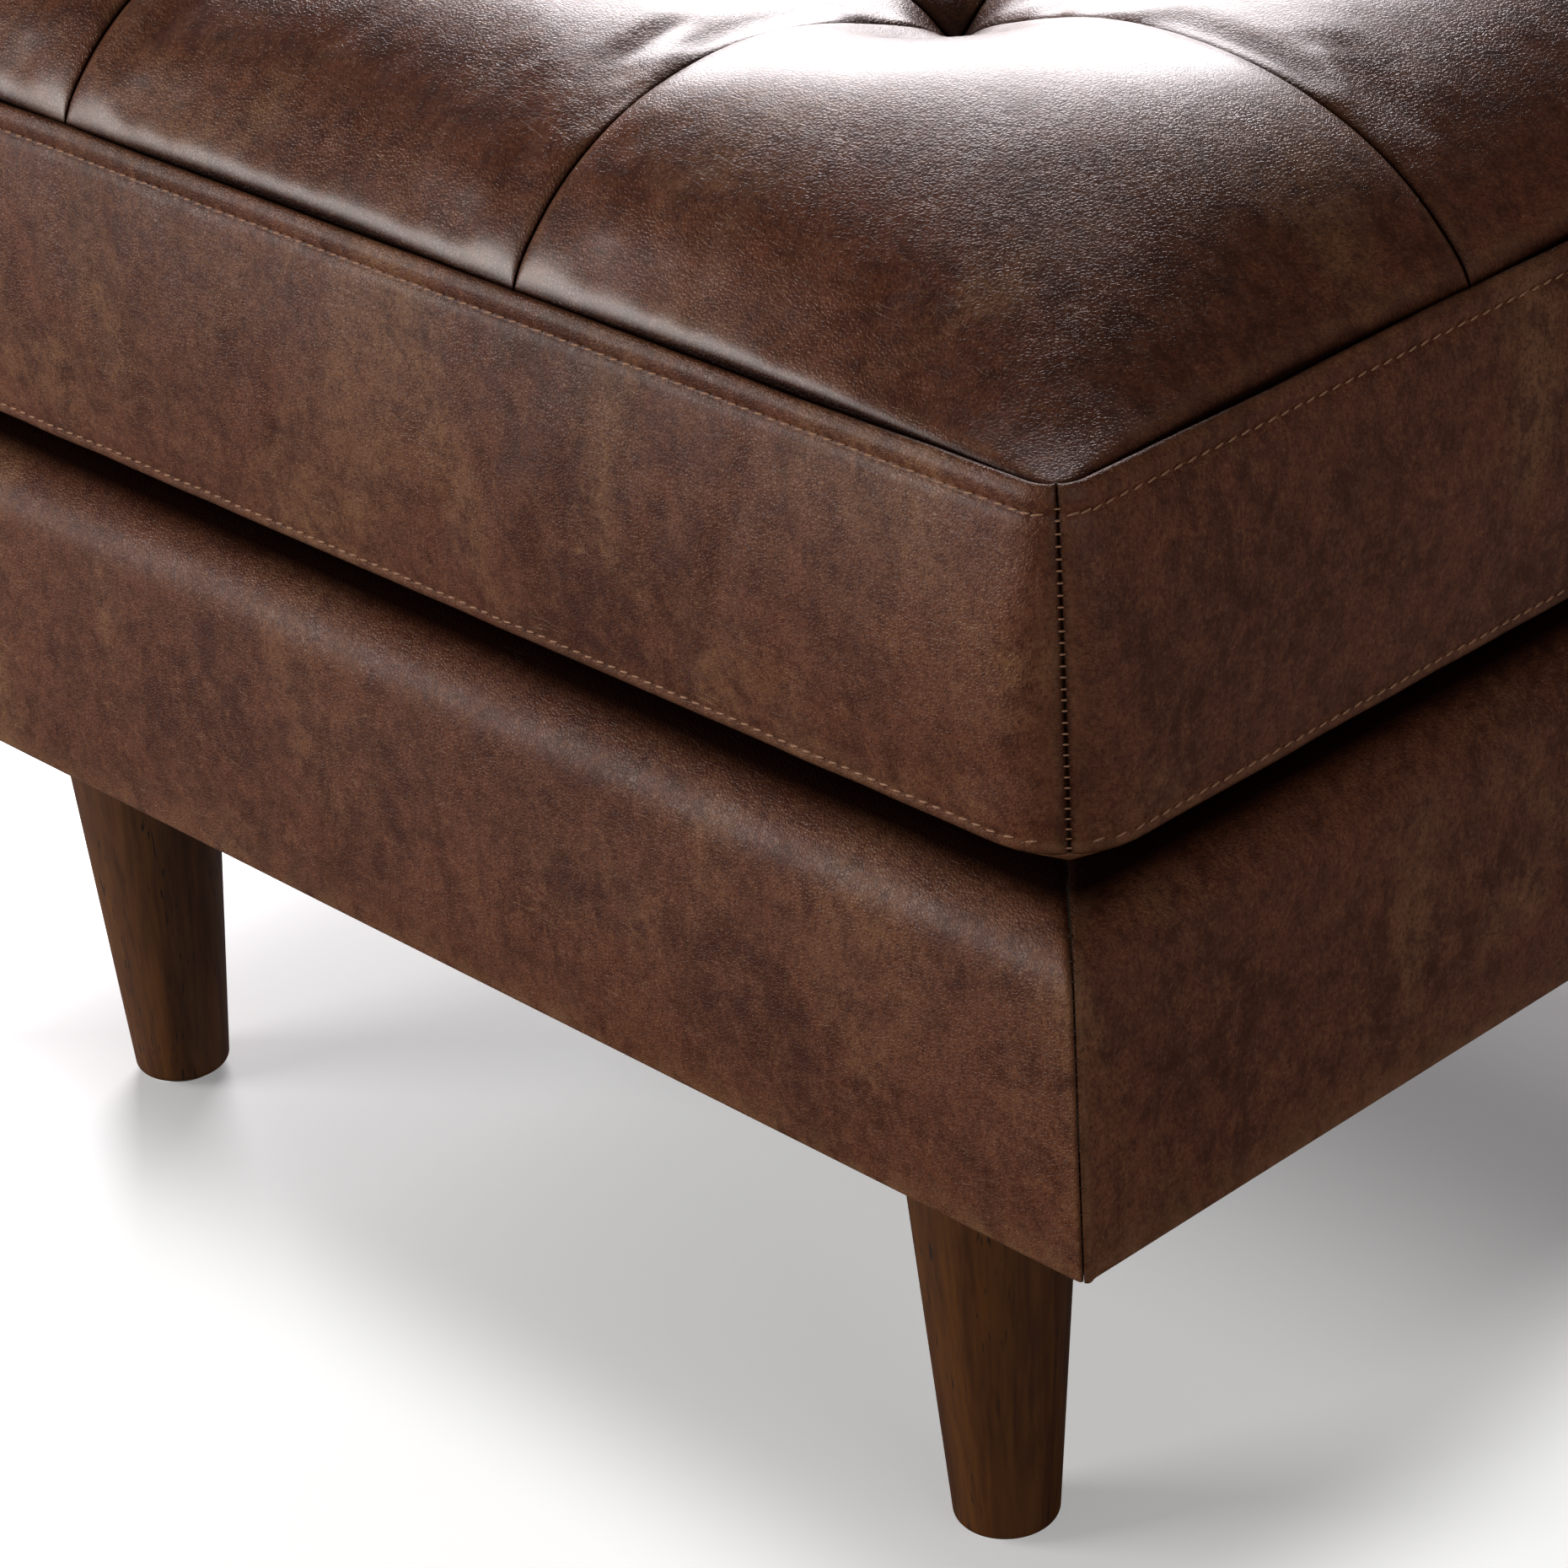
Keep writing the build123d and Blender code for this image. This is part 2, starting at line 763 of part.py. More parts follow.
with BuildPart() as tuft_anchors:
    add(tuft_set(anchor_radius, anchor_bottom, anchor_top))
    add(tie_hole, mode=Mode.SUBTRACT)
save(tuft_anchors, "tuft_anchors")

with BuildPart() as tuft_ties:
    add(tuft_set(tie_radius, knot_bottom, tie_top))
    add(tuft_set(tie_knot_radius, knot_bottom, anchor_bottom))
    add(tuft_set(tie_knot_radius, tie_top - tie_knot_thickness, tie_top))
save(tuft_ties, "tuft_ties")


def crown_height(column_step, row_step):
    """Height above the rim at a point of the half-panel grid: a corner, a seam's middle or a centre."""
    steps = ((column_step, 2 * columns), (row_step, 2 * rows))
    on_rim = any(step in (0, last) for step, last in steps)
    beside_rim = sum(step in (1, last - 1) for step, last in steps)
    odd_steps = sum(step % 2 for step, last in steps)
    if odd_steps == 0:
        return 0 if on_rim else tuft_height
    if odd_steps == 1:
        if on_rim:
            return ridge_bow
        return outer_seam_crown if beside_rim else inner_seam_crown
    return (centre_panel_crown, side_panel_crown, corner_panel_crown)[beside_rim]


block_base = foam_top - seam_band_height


def crowned_block(column, row):
    """The space under one square of the cushion's top: crowned, drawn in at its tufts, flat below."""
    x_start = column_lines[column] + seam_gap / 2
    y_start = row_lines[row] + seam_gap / 2
    x_size = column_lines[column + 1] - x_start - seam_gap / 2
    y_size = row_lines[row + 1] - y_start - seam_gap / 2
    with BuildPart() as block:
        for x_step in range(3):
            top = [
                (
                    y_start + y_step * y_size / 2,
                    panel_rim + crown_height(2 * column + x_step, 2 * row + y_step),
                )
                for y_step in range(3)
            ]
            with BuildSketch(Plane.YZ.offset(x_start + x_step * x_size / 2)):
                with BuildLine():
                    ThreePointArc(*top)
                    Polyline(top[0], (top[0][0], block_base), (top[-1][0], block_base), top[-1])
                make_face()
        loft()
    return block.part


with BuildPart() as top_region:
    with BuildSketch(level_plane(foam_top)):
        RectangleRounded(top_width, top_depth, cushion_corner_radius - panel_inset)
    extrude(amount=seam_band_height + 2 * centre_panel_crown)

blocks = {
    (column, row): crowned_block(column, row) for column in range(columns) for row in range(rows)
}
row_names = ("front", "middle", "back")
column_names = ("left", "centre", "right")
for (column, row), block in blocks.items():
    with BuildPart() as top_panel:
        add(block)
        add(block.moved(Location((0, 0, -leather_thickness))), mode=Mode.SUBTRACT)
        add(top_region.part, mode=Mode.INTERSECT)
    save(top_panel, f"top_panel_{row_names[row]}_{column_names[column]}")

with BuildPart() as biscuit_pads:
    add([block.moved(Location((0, 0, -leather_thickness - soft_gap))) for block in blocks.values()])
    add(top_region.part, mode=Mode.INTERSECT)
    add([tie_hole, knot_recess], mode=Mode.SUBTRACT)
save(biscuit_pads, "biscuit_pads")


# Boxing: bulged strips with a raised seam band along their lower and upper edges
boxing_middle = boxing_height / 2


def make_boxing(turn, length, across):
    """One side of the boxing, from corner seam to corner seam round both half corners."""
    half = length / 2 - cushion_inset
    edge = across / 2 - cushion_inset
    radius = cushion_corner_radius
    centre_x = half - radius
    centre_y = radius - edge
    eighth = quarter_turn / 2
    seam_angle = degrees(seam_gap / 2 / radius)
    band_top = boxing_height - seam_band_height
    with BuildPart() as boxing:
        with BuildLine(level_plane(boxing_bottom, turn)) as path:
            CenterArc((-centre_x, centre_y), radius, 5 * eighth + seam_angle, eighth - seam_angle)
            Line((-centre_x, -edge), (centre_x, -edge))
            CenterArc((centre_x, centre_y), radius, 6 * eighth, eighth - seam_angle)
        along = path.wires()[0] % 0
        inward = Vector(0, 0, 1).cross(along)
        with BuildSketch(Plane(origin=path.wires()[0] @ 0, x_dir=inward, z_dir=along)):
            with BuildLine():
                ThreePointArc((leather_thickness, 0), (0, seam_band_height / 2), (stitch_dip, seam_band_height))
                ThreePointArc((stitch_dip, seam_band_height), (-boxing_bulge, boxing_middle), (stitch_dip, band_top))
                ThreePointArc(
                    (stitch_dip, band_top),
                    (0, band_top + seam_band_height / 2),
                    (leather_thickness, boxing_height),
                )
                Polyline(
                    (leather_thickness, boxing_height),
                    (seam_band_thickness, boxing_height),
                    (seam_band_thickness, band_top),
                    (stitch_dip + leather_thickness, band_top),
                )
                ThreePointArc(
                    (stitch_dip + leather_thickness, band_top),
                    (leather_thickness - boxing_bulge, boxing_middle),
                    (stitch_dip + leather_thickness, seam_band_height),
                )
                Polyline(
                    (stitch_dip + leather_thickness, seam_band_height),
                    (seam_band_thickness, seam_band_height),
                    (seam_band_thickness, 0),
                    (leather_thickness, 0),
                )
            make_face()
        sweep(path=path.wires()[0])
        if turn == sides["back"][0]:
            with BuildSketch(section_plane(turn)):
                with Locations((-edge, boxing_bottom + boxing_middle)):
                    Rectangle(2 * (boxing_bulge + cut_overrun), zip_slot_height)
            extrude(amount=zip_length / 2 + zip_slot_margin, both=True, mode=Mode.SUBTRACT)
    return boxing


for side, (turn, length, across) in sides.items():
    save(make_boxing(turn, length, across), f"boxing_{side}")

# Zip in the back boxing: two tapes behind a slot, the closed chain, its stops and the slider
zip_turn = sides["back"][0]
zip_level = boxing_bottom + boxing_middle
tape_face = cushion_inset - overall_depth / 2 - boxing_bulge + leather_thickness + zip_set_back
head_back = tape_face - zip_neck_thickness
head_face = head_back - zip_head_thickness
chain_length = zip_length - 2 * zip_stop_length - 2 * slider_fit

with BuildPart() as zip_tapes:
    with BuildSketch(section_plane(zip_turn)):
        with Locations((tape_face + zip_tape_thickness / 2, zip_level)):
            Rectangle(zip_tape_thickness, zip_tape_height)
            Rectangle(zip_tape_thickness, seam_gap, mode=Mode.SUBTRACT)
    extrude(amount=zip_length / 2, both=True)
save(zip_tapes, "zip_tapes")

with BuildPart() as zip_chain:
    with BuildSketch(section_plane(zip_turn)):
        with Locations((tape_face - zip_neck_thickness / 2, zip_level)):
            Rectangle(zip_neck_thickness, zip_neck_height)
    extrude(amount=chain_length / 2, both=True)
    with BuildSketch(Plane(origin=(0, -head_back, zip_level), x_dir=(1, 0, 0), z_dir=(0, 1, 0))):
        Rectangle(chain_length, zip_spine_height)
        with GridLocations(zip_tooth_pitch, 0, int(chain_length / zip_tooth_pitch), 1):
            Rectangle(zip_tooth_width, zip_head_height)
    extrude(amount=zip_head_thickness)
save(zip_chain, "zip_chain")

with BuildPart() as zip_stops:
    stop_x = (zip_length - zip_stop_length) / 2
    with BuildSketch(Plane(origin=(0, -tape_face, zip_level), x_dir=(1, 0, 0), z_dir=(0, 1, 0))):
        with Locations((-stop_x, 0), (stop_x, 0)):
            Rectangle(zip_stop_length, zip_head_height)
    extrude(amount=zip_neck_thickness + zip_head_thickness)
save(zip_stops, "zip_stops")

with BuildPart() as zip_slider:
    neck_side = zip_neck_height / 2 + slider_fit
    head_side = zip_head_height / 2 + slider_fit
    slider_side = head_side + slider_wall
    slider_face = head_face - slider_fit - slider_wall
    slider_start = -chain_length / 2
    upper_half = [
        (slider_face, slider_side),
        (tape_face - slider_fit, slider_side),
        (tape_face - slider_fit, neck_side),
        (head_back + slider_fit, neck_side),
        (head_back + slider_fit, head_side),
        (head_face - slider_fit, head_side),
    ]
    lower_half = [(x, -y) for x, y in reversed(upper_half)]
    with BuildSketch(section_plane(zip_turn, slider_start)):
        with BuildLine():
            Polyline(*[(x, zip_level + y) for x, y in upper_half + lower_half], close=True)
        make_face()
    extrude(amount=slider_length)
save(zip_slider, "zip_slider")
print("slider travel", chain_length - slider_length)
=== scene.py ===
"""Looks of a tufted leather ottoman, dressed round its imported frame: leather, wood, cloth, light, camera."""

import json
import logging
import math
from dataclasses import dataclass, field
from enum import Enum
from typing import Sequence

import bpy
import numpy as np
from mathutils import Matrix, Vector, noise


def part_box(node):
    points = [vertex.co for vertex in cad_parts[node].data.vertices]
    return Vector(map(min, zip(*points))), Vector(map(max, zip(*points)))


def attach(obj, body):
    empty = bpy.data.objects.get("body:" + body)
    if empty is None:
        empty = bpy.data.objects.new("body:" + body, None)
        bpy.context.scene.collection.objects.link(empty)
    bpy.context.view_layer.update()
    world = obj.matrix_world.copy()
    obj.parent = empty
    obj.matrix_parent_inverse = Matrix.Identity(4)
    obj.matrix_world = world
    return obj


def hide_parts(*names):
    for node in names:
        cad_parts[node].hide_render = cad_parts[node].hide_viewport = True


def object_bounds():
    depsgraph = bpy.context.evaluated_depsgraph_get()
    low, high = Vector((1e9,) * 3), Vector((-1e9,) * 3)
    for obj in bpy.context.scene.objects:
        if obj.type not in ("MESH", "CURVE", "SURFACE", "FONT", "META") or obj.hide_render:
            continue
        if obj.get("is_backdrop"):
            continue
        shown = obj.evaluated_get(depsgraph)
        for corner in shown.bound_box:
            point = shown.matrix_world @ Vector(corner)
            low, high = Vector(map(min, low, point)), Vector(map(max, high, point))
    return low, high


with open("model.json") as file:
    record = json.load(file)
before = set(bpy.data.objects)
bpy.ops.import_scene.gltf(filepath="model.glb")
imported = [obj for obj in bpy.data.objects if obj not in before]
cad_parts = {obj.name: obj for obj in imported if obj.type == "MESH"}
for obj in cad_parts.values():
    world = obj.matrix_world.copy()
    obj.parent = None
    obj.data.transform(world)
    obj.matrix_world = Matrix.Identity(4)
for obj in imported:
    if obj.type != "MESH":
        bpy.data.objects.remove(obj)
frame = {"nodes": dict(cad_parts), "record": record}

logging.basicConfig(level=logging.INFO, format="%(message)s")
log = logging.getLogger("ottoman")

MM = 0.001
EIGHTH_TURN = math.pi / 4

UPRIGHT = (0.0, 0.0, 0.0)
ALONG_X = (0.0, math.pi / 2, 0.0)
ALONG_Y = (math.pi / 2, 0.0, 0.0)

Triple = tuple[float, float, float]
Colour = Triple
Span = tuple[float, float]
Faces = list[tuple[int, ...]]
Grid = np.ndarray
Piece = bpy.types.Object
Socket = bpy.types.NodeSocket


class Side(Enum):
    """The four sides, with the turn in degrees that takes the front to each."""

    FRONT = 0
    RIGHT = 90
    BACK = 180
    LEFT = 270

    @property
    def label(self) -> str:
        """The side's name as the pieces use it."""
        return self.name.lower()

    @property
    def along_x(self) -> bool:
        """Whether the side runs along the long direction."""
        return self in (Side.FRONT, Side.BACK)


class Finish(Enum):
    """The record's material slots that this scene dresses."""

    LEG = "dark_stained_wood"
    GLIDE = "glide_plastic"
    ZINC = "zinc_steel"
    STAPLE = "staple_wire"
    RAIL = "frame_wood"
    WEBBING = "webbing"
    BASE_LEATHER = "base_leather"
    CUSHION_LEATHER = "cushion_leather"
    FOAM = "foam"
    FIBRE = "fibre"
    BLACK_CLOTH = "black_cloth"
    TWINE = "twine"
    ANCHOR = "anchor_plastic"
    ZIP_TAPE = "zip_tape"
    ZIP_CHAIN = "zip_plastic"
    SLIDER = "slider_metal"


# Mesh helpers

def smooth_noise(points: Grid, scale: float, seed: float = 0.0) -> Grid:
    """Even noise from -1 to 1 at each point.

    Args:
        points: array of points, in metres.
        scale: waves per metre.
        seed: shift that gives another pattern.

    Returns:
        One value per point.
    """
    flat = points.reshape(-1, 3) * scale + seed
    values = np.array([noise.noise(Vector(p)) for p in flat])
    return values.reshape(points.shape[:-1])


def bell(distance: Grid, width: float, power: int = 2) -> Grid:
    """1 at distance 0, fading smoothly to 0."""
    return np.exp(-((distance / width) ** power))


def fading(distance: Grid, width: float) -> Grid:
    """1 at distance 0, fading steeply at first."""
    return np.exp(-distance / width)


def ramp(distance: Grid, reach: float, least: float = 0.0) -> Grid:
    """The distance as a share of its reach, from the least share to 1."""
    return np.clip(distance / reach, least, 1)


def arch(share: Grid | float) -> Grid:
    """A full swell from 0 up to 1 and back to 0."""
    return 4 * np.clip(share * (1 - share), 0, None)


def edge_distance(u: Grid, v: Grid, width: float, depth: float) -> Grid:
    """Distance from a rectangle's edge, at shares of its width and depth."""
    return np.minimum(np.minimum(u, 1 - u) * width, np.minimum(v, 1 - v) * depth)


@dataclass(frozen=True)
class Waviness:
    """Slow unevenness of a surface: its height, waves per metre, seed and stretch."""

    height: float
    scale: float
    seed: float
    stretch: Triple = (1.0, 1.0, 1.0)

    def at(self, points: Grid) -> Grid:
        """The heights at some points."""
        return self.height * smooth_noise(points * np.array(self.stretch), self.scale, self.seed)


def graded(length: float, step: float, edge_steps: Sequence[float]) -> Grid:
    """Places from 0 to length, close together at both ends.

    Args:
        length: the last place.
        step: spacing in the middle, at most.
        edge_steps: distances of the places beside each end.

    Returns:
        The places, rising.
    """
    near = [0.0, *edge_steps]
    start, end = near[-1], length - near[-1]
    count = max(2, math.ceil((end - start) / step))
    middle = np.linspace(start, end, count + 1)[1:-1]
    return np.array([*near, *middle, *(length - d for d in reversed(near))])


def grid_faces(rows: int, columns: int, closed: bool = False, first: int = 0) -> Faces:
    """Quads of a grid of points, rows by columns, facing out when rows run up and columns run left.

    Args:
        rows: number of rows of points.
        columns: number of points in a row.
        closed: whether each row is a ring.
        first: number of the grid's first point.

    Returns:
        The faces as point numbers.
    """
    faces = []
    for row in range(rows - 1):
        for column in range(columns if closed else columns - 1):
            after = (column + 1) % columns
            low, high = first + row * columns, first + (row + 1) * columns
            faces.append((low + column, low + after, high + after, high + column))
    return faces


def make_mesh(name: str, points: Grid, faces: Faces, values: dict[str, Grid] | None = None) -> Piece:
    """A smooth-shaded mesh object at the origin.

    Args:
        name: the piece's name.
        points: its points, in metres.
        faces: its faces.
        values: named values per point, kept as attributes for the materials.

    Returns:
        The new object.
    """
    mesh = bpy.data.meshes.new(name)
    mesh.from_pydata(np.asarray(points).reshape(-1, 3).tolist(), [], faces)
    for key, value in (values or {}).items():
        attribute = mesh.attributes.new(key, "FLOAT", "POINT")
        attribute.data.foreach_set("value", np.asarray(value, np.float32).ravel())
    mesh.validate()
    mesh.shade_smooth()
    piece = bpy.data.objects.new(name, mesh)
    bpy.context.scene.collection.objects.link(piece)
    return piece


def select_only(piece: Piece) -> None:
    """Makes one object the only selected and active one."""
    bpy.ops.object.select_all(action="DESELECT")
    piece.select_set(True)
    bpy.context.view_layer.objects.active = piece


def recalculate(piece: Piece) -> None:
    """Turns all the faces of a closed piece outwards.

    Args:
        piece: the object.
    """
    select_only(piece)
    bpy.ops.object.mode_set(mode="EDIT")
    bpy.ops.mesh.select_all(action="SELECT")
    bpy.ops.mesh.normals_make_consistent(inside=False)
    bpy.ops.object.mode_set(mode="OBJECT")


def apply_modifier(piece: Piece, kind: str, **settings: object) -> None:
    """Adds one modifier to a piece and applies it.

    Args:
        piece: the object.
        kind: the modifier's type.
        settings: the modifier's properties.
    """
    select_only(piece)
    modifier = piece.modifiers.new(kind.lower(), kind)
    for key, value in settings.items():
        setattr(modifier, key, value)
    bpy.ops.object.modifier_apply(modifier=modifier.name)


def thicken(piece: Piece, thickness: float) -> None:
    """Gives a leather or cloth surface its thickness, inwards."""
    apply_modifier(piece, "SOLIDIFY", thickness=thickness, offset=-1.0, use_rim=True)


def smooth_below(piece: Piece, degrees: float) -> None:
    """Shades a piece smooth, apart from edges sharper than an angle."""
    select_only(piece)
    bpy.ops.object.shade_smooth_by_angle(angle=math.radians(degrees))


def spline_weights(places: Grid, count: int) -> Grid:
    """Weights that read smooth values between evenly numbered samples.

    Args:
        places: where to read, in sample numbers.
        count: how many samples there are.

    Returns:
        A matrix with a row per place and a column per sample.
    """
    start = np.clip(np.floor(places).astype(int), 0, count - 2)
    t = places - start
    parts = (
        (-t + 2 * t**2 - t**3) / 2,
        (2 - 5 * t**2 + 3 * t**3) / 2,
        (t + 4 * t**2 - 3 * t**3) / 2,
        (t**3 - t**2) / 2,
    )
    weights = np.zeros((len(places), count))
    for shift, part in enumerate(parts):
        index = np.clip(start + shift - 1, 0, count - 1)
        np.add.at(weights, (np.arange(len(places)), index), part)
    return weights


@dataclass(frozen=True)
class Outline:
    """A rounded rectangle seen from above, split into four strips at its corners' middles."""

    width: float
    depth: float
    radius: float

    def inset(self, distance: float, radius: float) -> "Outline":
        """A smaller outline inside this one, with its own corner radius."""
        return Outline(self.width - 2 * distance, self.depth - 2 * distance, radius)

    def halves(self, side: Side) -> Span:
        """Half the length along a side, and its distance from the middle."""
        pair = (self.width / 2, self.depth / 2)
        return pair if side.along_x else pair[::-1]

    def strip(self, side: Side, shares: Grid, straight: float, outward: Grid | float = 0.0) -> tuple[Grid, Grid]:
        """Points along one side, from corner middle to corner middle.

        Args:
            side: which side.
            shares: places from -1 to 1 along it.
            straight: share at which its straight part ends.
            outward: how far each point lies outside the outline.

        Returns:
            The points and the outward directions, both with z 0.
        """
        half, distance = self.halves(side)
        over = np.clip((np.abs(shares) - straight) / (1 - straight), 0, 1) * EIGHTH_TURN
        sign = np.sign(shares)
        run = np.minimum(np.abs(shares) / straight, 1) * (half - self.radius)
        along = sign * (run + self.radius * np.sin(over))
        away = distance - self.radius + self.radius * np.cos(over)
        normal = np.stack([sign * np.sin(over), -np.cos(over), np.zeros_like(over)], -1)
        place = np.stack([along, -away, np.zeros_like(over)], -1)
        place = place + normal * np.expand_dims(np.broadcast_to(outward, over.shape), -1)
        turn = np.array(Matrix.Rotation(math.radians(side.value), 3, "Z"))
        return place @ turn.T, normal @ turn.T

    def straight_share(self, side: Side) -> float:
        """The share of a strip's half length that is straight."""
        half = self.halves(side)[0] - self.radius
        return half / (half + self.radius * EIGHTH_TURN)

    def half_run(self, side: Side) -> float:
        """Half the length of a strip, along its line."""
        return self.halves(side)[0] - self.radius + self.radius * EIGHTH_TURN


def ring_piece(name: str, outlines: list[tuple[Outline, float]], step: float, caps: bool) -> Piece:
    """A closed piece whose outline changes from level to level.

    Args:
        name: the piece's name.
        outlines: outline and height of each level, in order.
        step: spacing of the points along the sides.
        caps: whether the first and last level are closed over; otherwise the last joins the first.

    Returns:
        The new object.
    """
    rows = []
    for outline, level in outlines:
        ring = []
        for side in Side:
            count = math.ceil(2 * outlines[0][0].half_run(side) / step)
            shares = np.linspace(-1, 1, count + 1)[:-1]
            place, _ = outline.strip(side, shares, outlines[0][0].straight_share(side))
            ring.append(place + [0, 0, level])
        rows.append(np.concatenate(ring))
    columns = len(rows[0])
    if not caps:
        rows.append(rows[0])
    faces = grid_faces(len(rows), columns, closed=True)
    points = np.concatenate(rows)
    if caps:
        faces += [tuple(range(columns))[::-1], tuple(range(len(points) - columns, len(points)))]
    else:
        points, last = points[:-columns], len(points) - columns
        faces = [tuple(n % last for n in face) for face in faces]
    piece = make_mesh(name, points, faces)
    recalculate(piece)
    return piece


# Shader helpers

@dataclass(frozen=True)
class Waves:
    """The settings of one noise: waves per metre, octaves, roughness and distortion."""

    scale: float = 1.0
    detail: float = 3.0
    roughness: float = 0.5
    distortion: float = 0.0


class Tree:
    """A node tree that is written one node at a time."""

    def __init__(self, tree: bpy.types.NodeTree) -> None:
        """Keeps the tree to write in."""
        self.tree = tree

    def feed(self, node: bpy.types.Node, inputs: dict) -> bpy.types.Node:
        """Gives a node's inputs their values or source sockets.

        Args:
            node: the node.
            inputs: a value or a source socket for each input, by name or number.

        Returns:
            The same node.
        """
        for key, value in inputs.items():
            socket = node.inputs[key]
            if isinstance(value, bpy.types.NodeSocket):
                self.tree.links.new(value, socket)
            else:
                socket.default_value = (*value, 1.0) if socket.type == "RGBA" else value
        return node

    def node(self, kind: str, inputs: dict | None = None, **settings: object) -> bpy.types.Node:
        """Adds one node.

        Args:
            kind: the node's type, without its ShaderNode prefix.
            inputs: a value or a source socket for each input, by name or number.
            settings: the node's properties.

        Returns:
            The node.
        """
        made = self.tree.nodes.new(kind if kind.startswith("NodeGroup") else "ShaderNode" + kind)
        for key, value in settings.items():
            setattr(made, key, value)
        return self.feed(made, inputs or {})

    def maths(self, operation: str, *values: object) -> Socket:
        """The result of one sum on numbers or sockets."""
        return self.node("Math", dict(enumerate(values)), operation=operation).outputs[0]

    def times(self, first: object, second: object) -> Socket:
        """The product of two values."""
        return self.maths("MULTIPLY", first, second)

    def mix(self, share: object, first: object, second: object) -> Socket:
        """A colour between two."""
        return self.node("Mix", {0: share, 6: first, 7: second}, data_type="RGBA").outputs[2]

    def fit(self, value: object, span: Span, to: Span = (0.0, 1.0)) -> Socket:
        """A value stretched from one range to another, smoothly."""
        inputs = {"Value": value, "From Min": span[0], "From Max": span[1], "To Min": to[0], "To Max": to[1]}
        return self.node("MapRange", inputs, interpolation_type="SMOOTHSTEP").outputs[0]

    def stretch(self, vector: object, scale: Triple, turn: Triple = (0, 0, 0)) -> Socket:
        """A vector turned in radians and scaled."""
        return self.node("Mapping", {"Vector": vector, "Scale": scale, "Rotation": turn}).outputs[0]

    def noise(self, vector: object, waves: Waves, scale: object = None) -> Socket:
        """Noise from 0 to 1, at the waves' own scale or another."""
        inputs = {"Vector": vector, "Scale": waves.scale if scale is None else scale, "Detail": waves.detail}
        return self.node("TexNoise", inputs | {"Roughness": waves.roughness, "Distortion": waves.distortion}).outputs[0]

    def mark(self, name: str) -> Socket:
        """A piece's own attribute, such as its wear."""
        return self.node("Attribute", attribute_name=name).outputs["Fac"]

    def bump(self, height: object, distance: float, strength: float = 1.0) -> Socket:
        """The normal of a surface with this height."""
        return self.node("Bump", {"Strength": strength, "Distance": distance, "Height": height}).outputs[0]

    def group(self, tree: bpy.types.NodeTree, inputs: dict) -> bpy.types.bpy_prop_collection:
        """Places a node group and returns its outputs."""
        return self.feed(self.node("Group", node_tree=tree), inputs).outputs


def new_group(
    name: str, inputs: dict[str, str], outputs: dict[str, str]
) -> tuple[Tree, dict[str, Socket], bpy.types.Node]:
    """An empty node group with its sockets.

    Args:
        name: the group's name.
        inputs: socket kind by name.
        outputs: socket kind by name.

    Returns:
        The tree, its given values by name and its output node.
    """
    made = Tree(bpy.data.node_groups.new(name, "ShaderNodeTree"))
    for way, sockets in (("INPUT", inputs), ("OUTPUT", outputs)):
        for label, kind in sockets.items():
            made.tree.interface.new_socket(label, in_out=way, socket_type="NodeSocket" + kind)
    given = made.node("NodeGroupInput").outputs
    return made, {label: given[label] for label in inputs}, made.node("NodeGroupOutput")


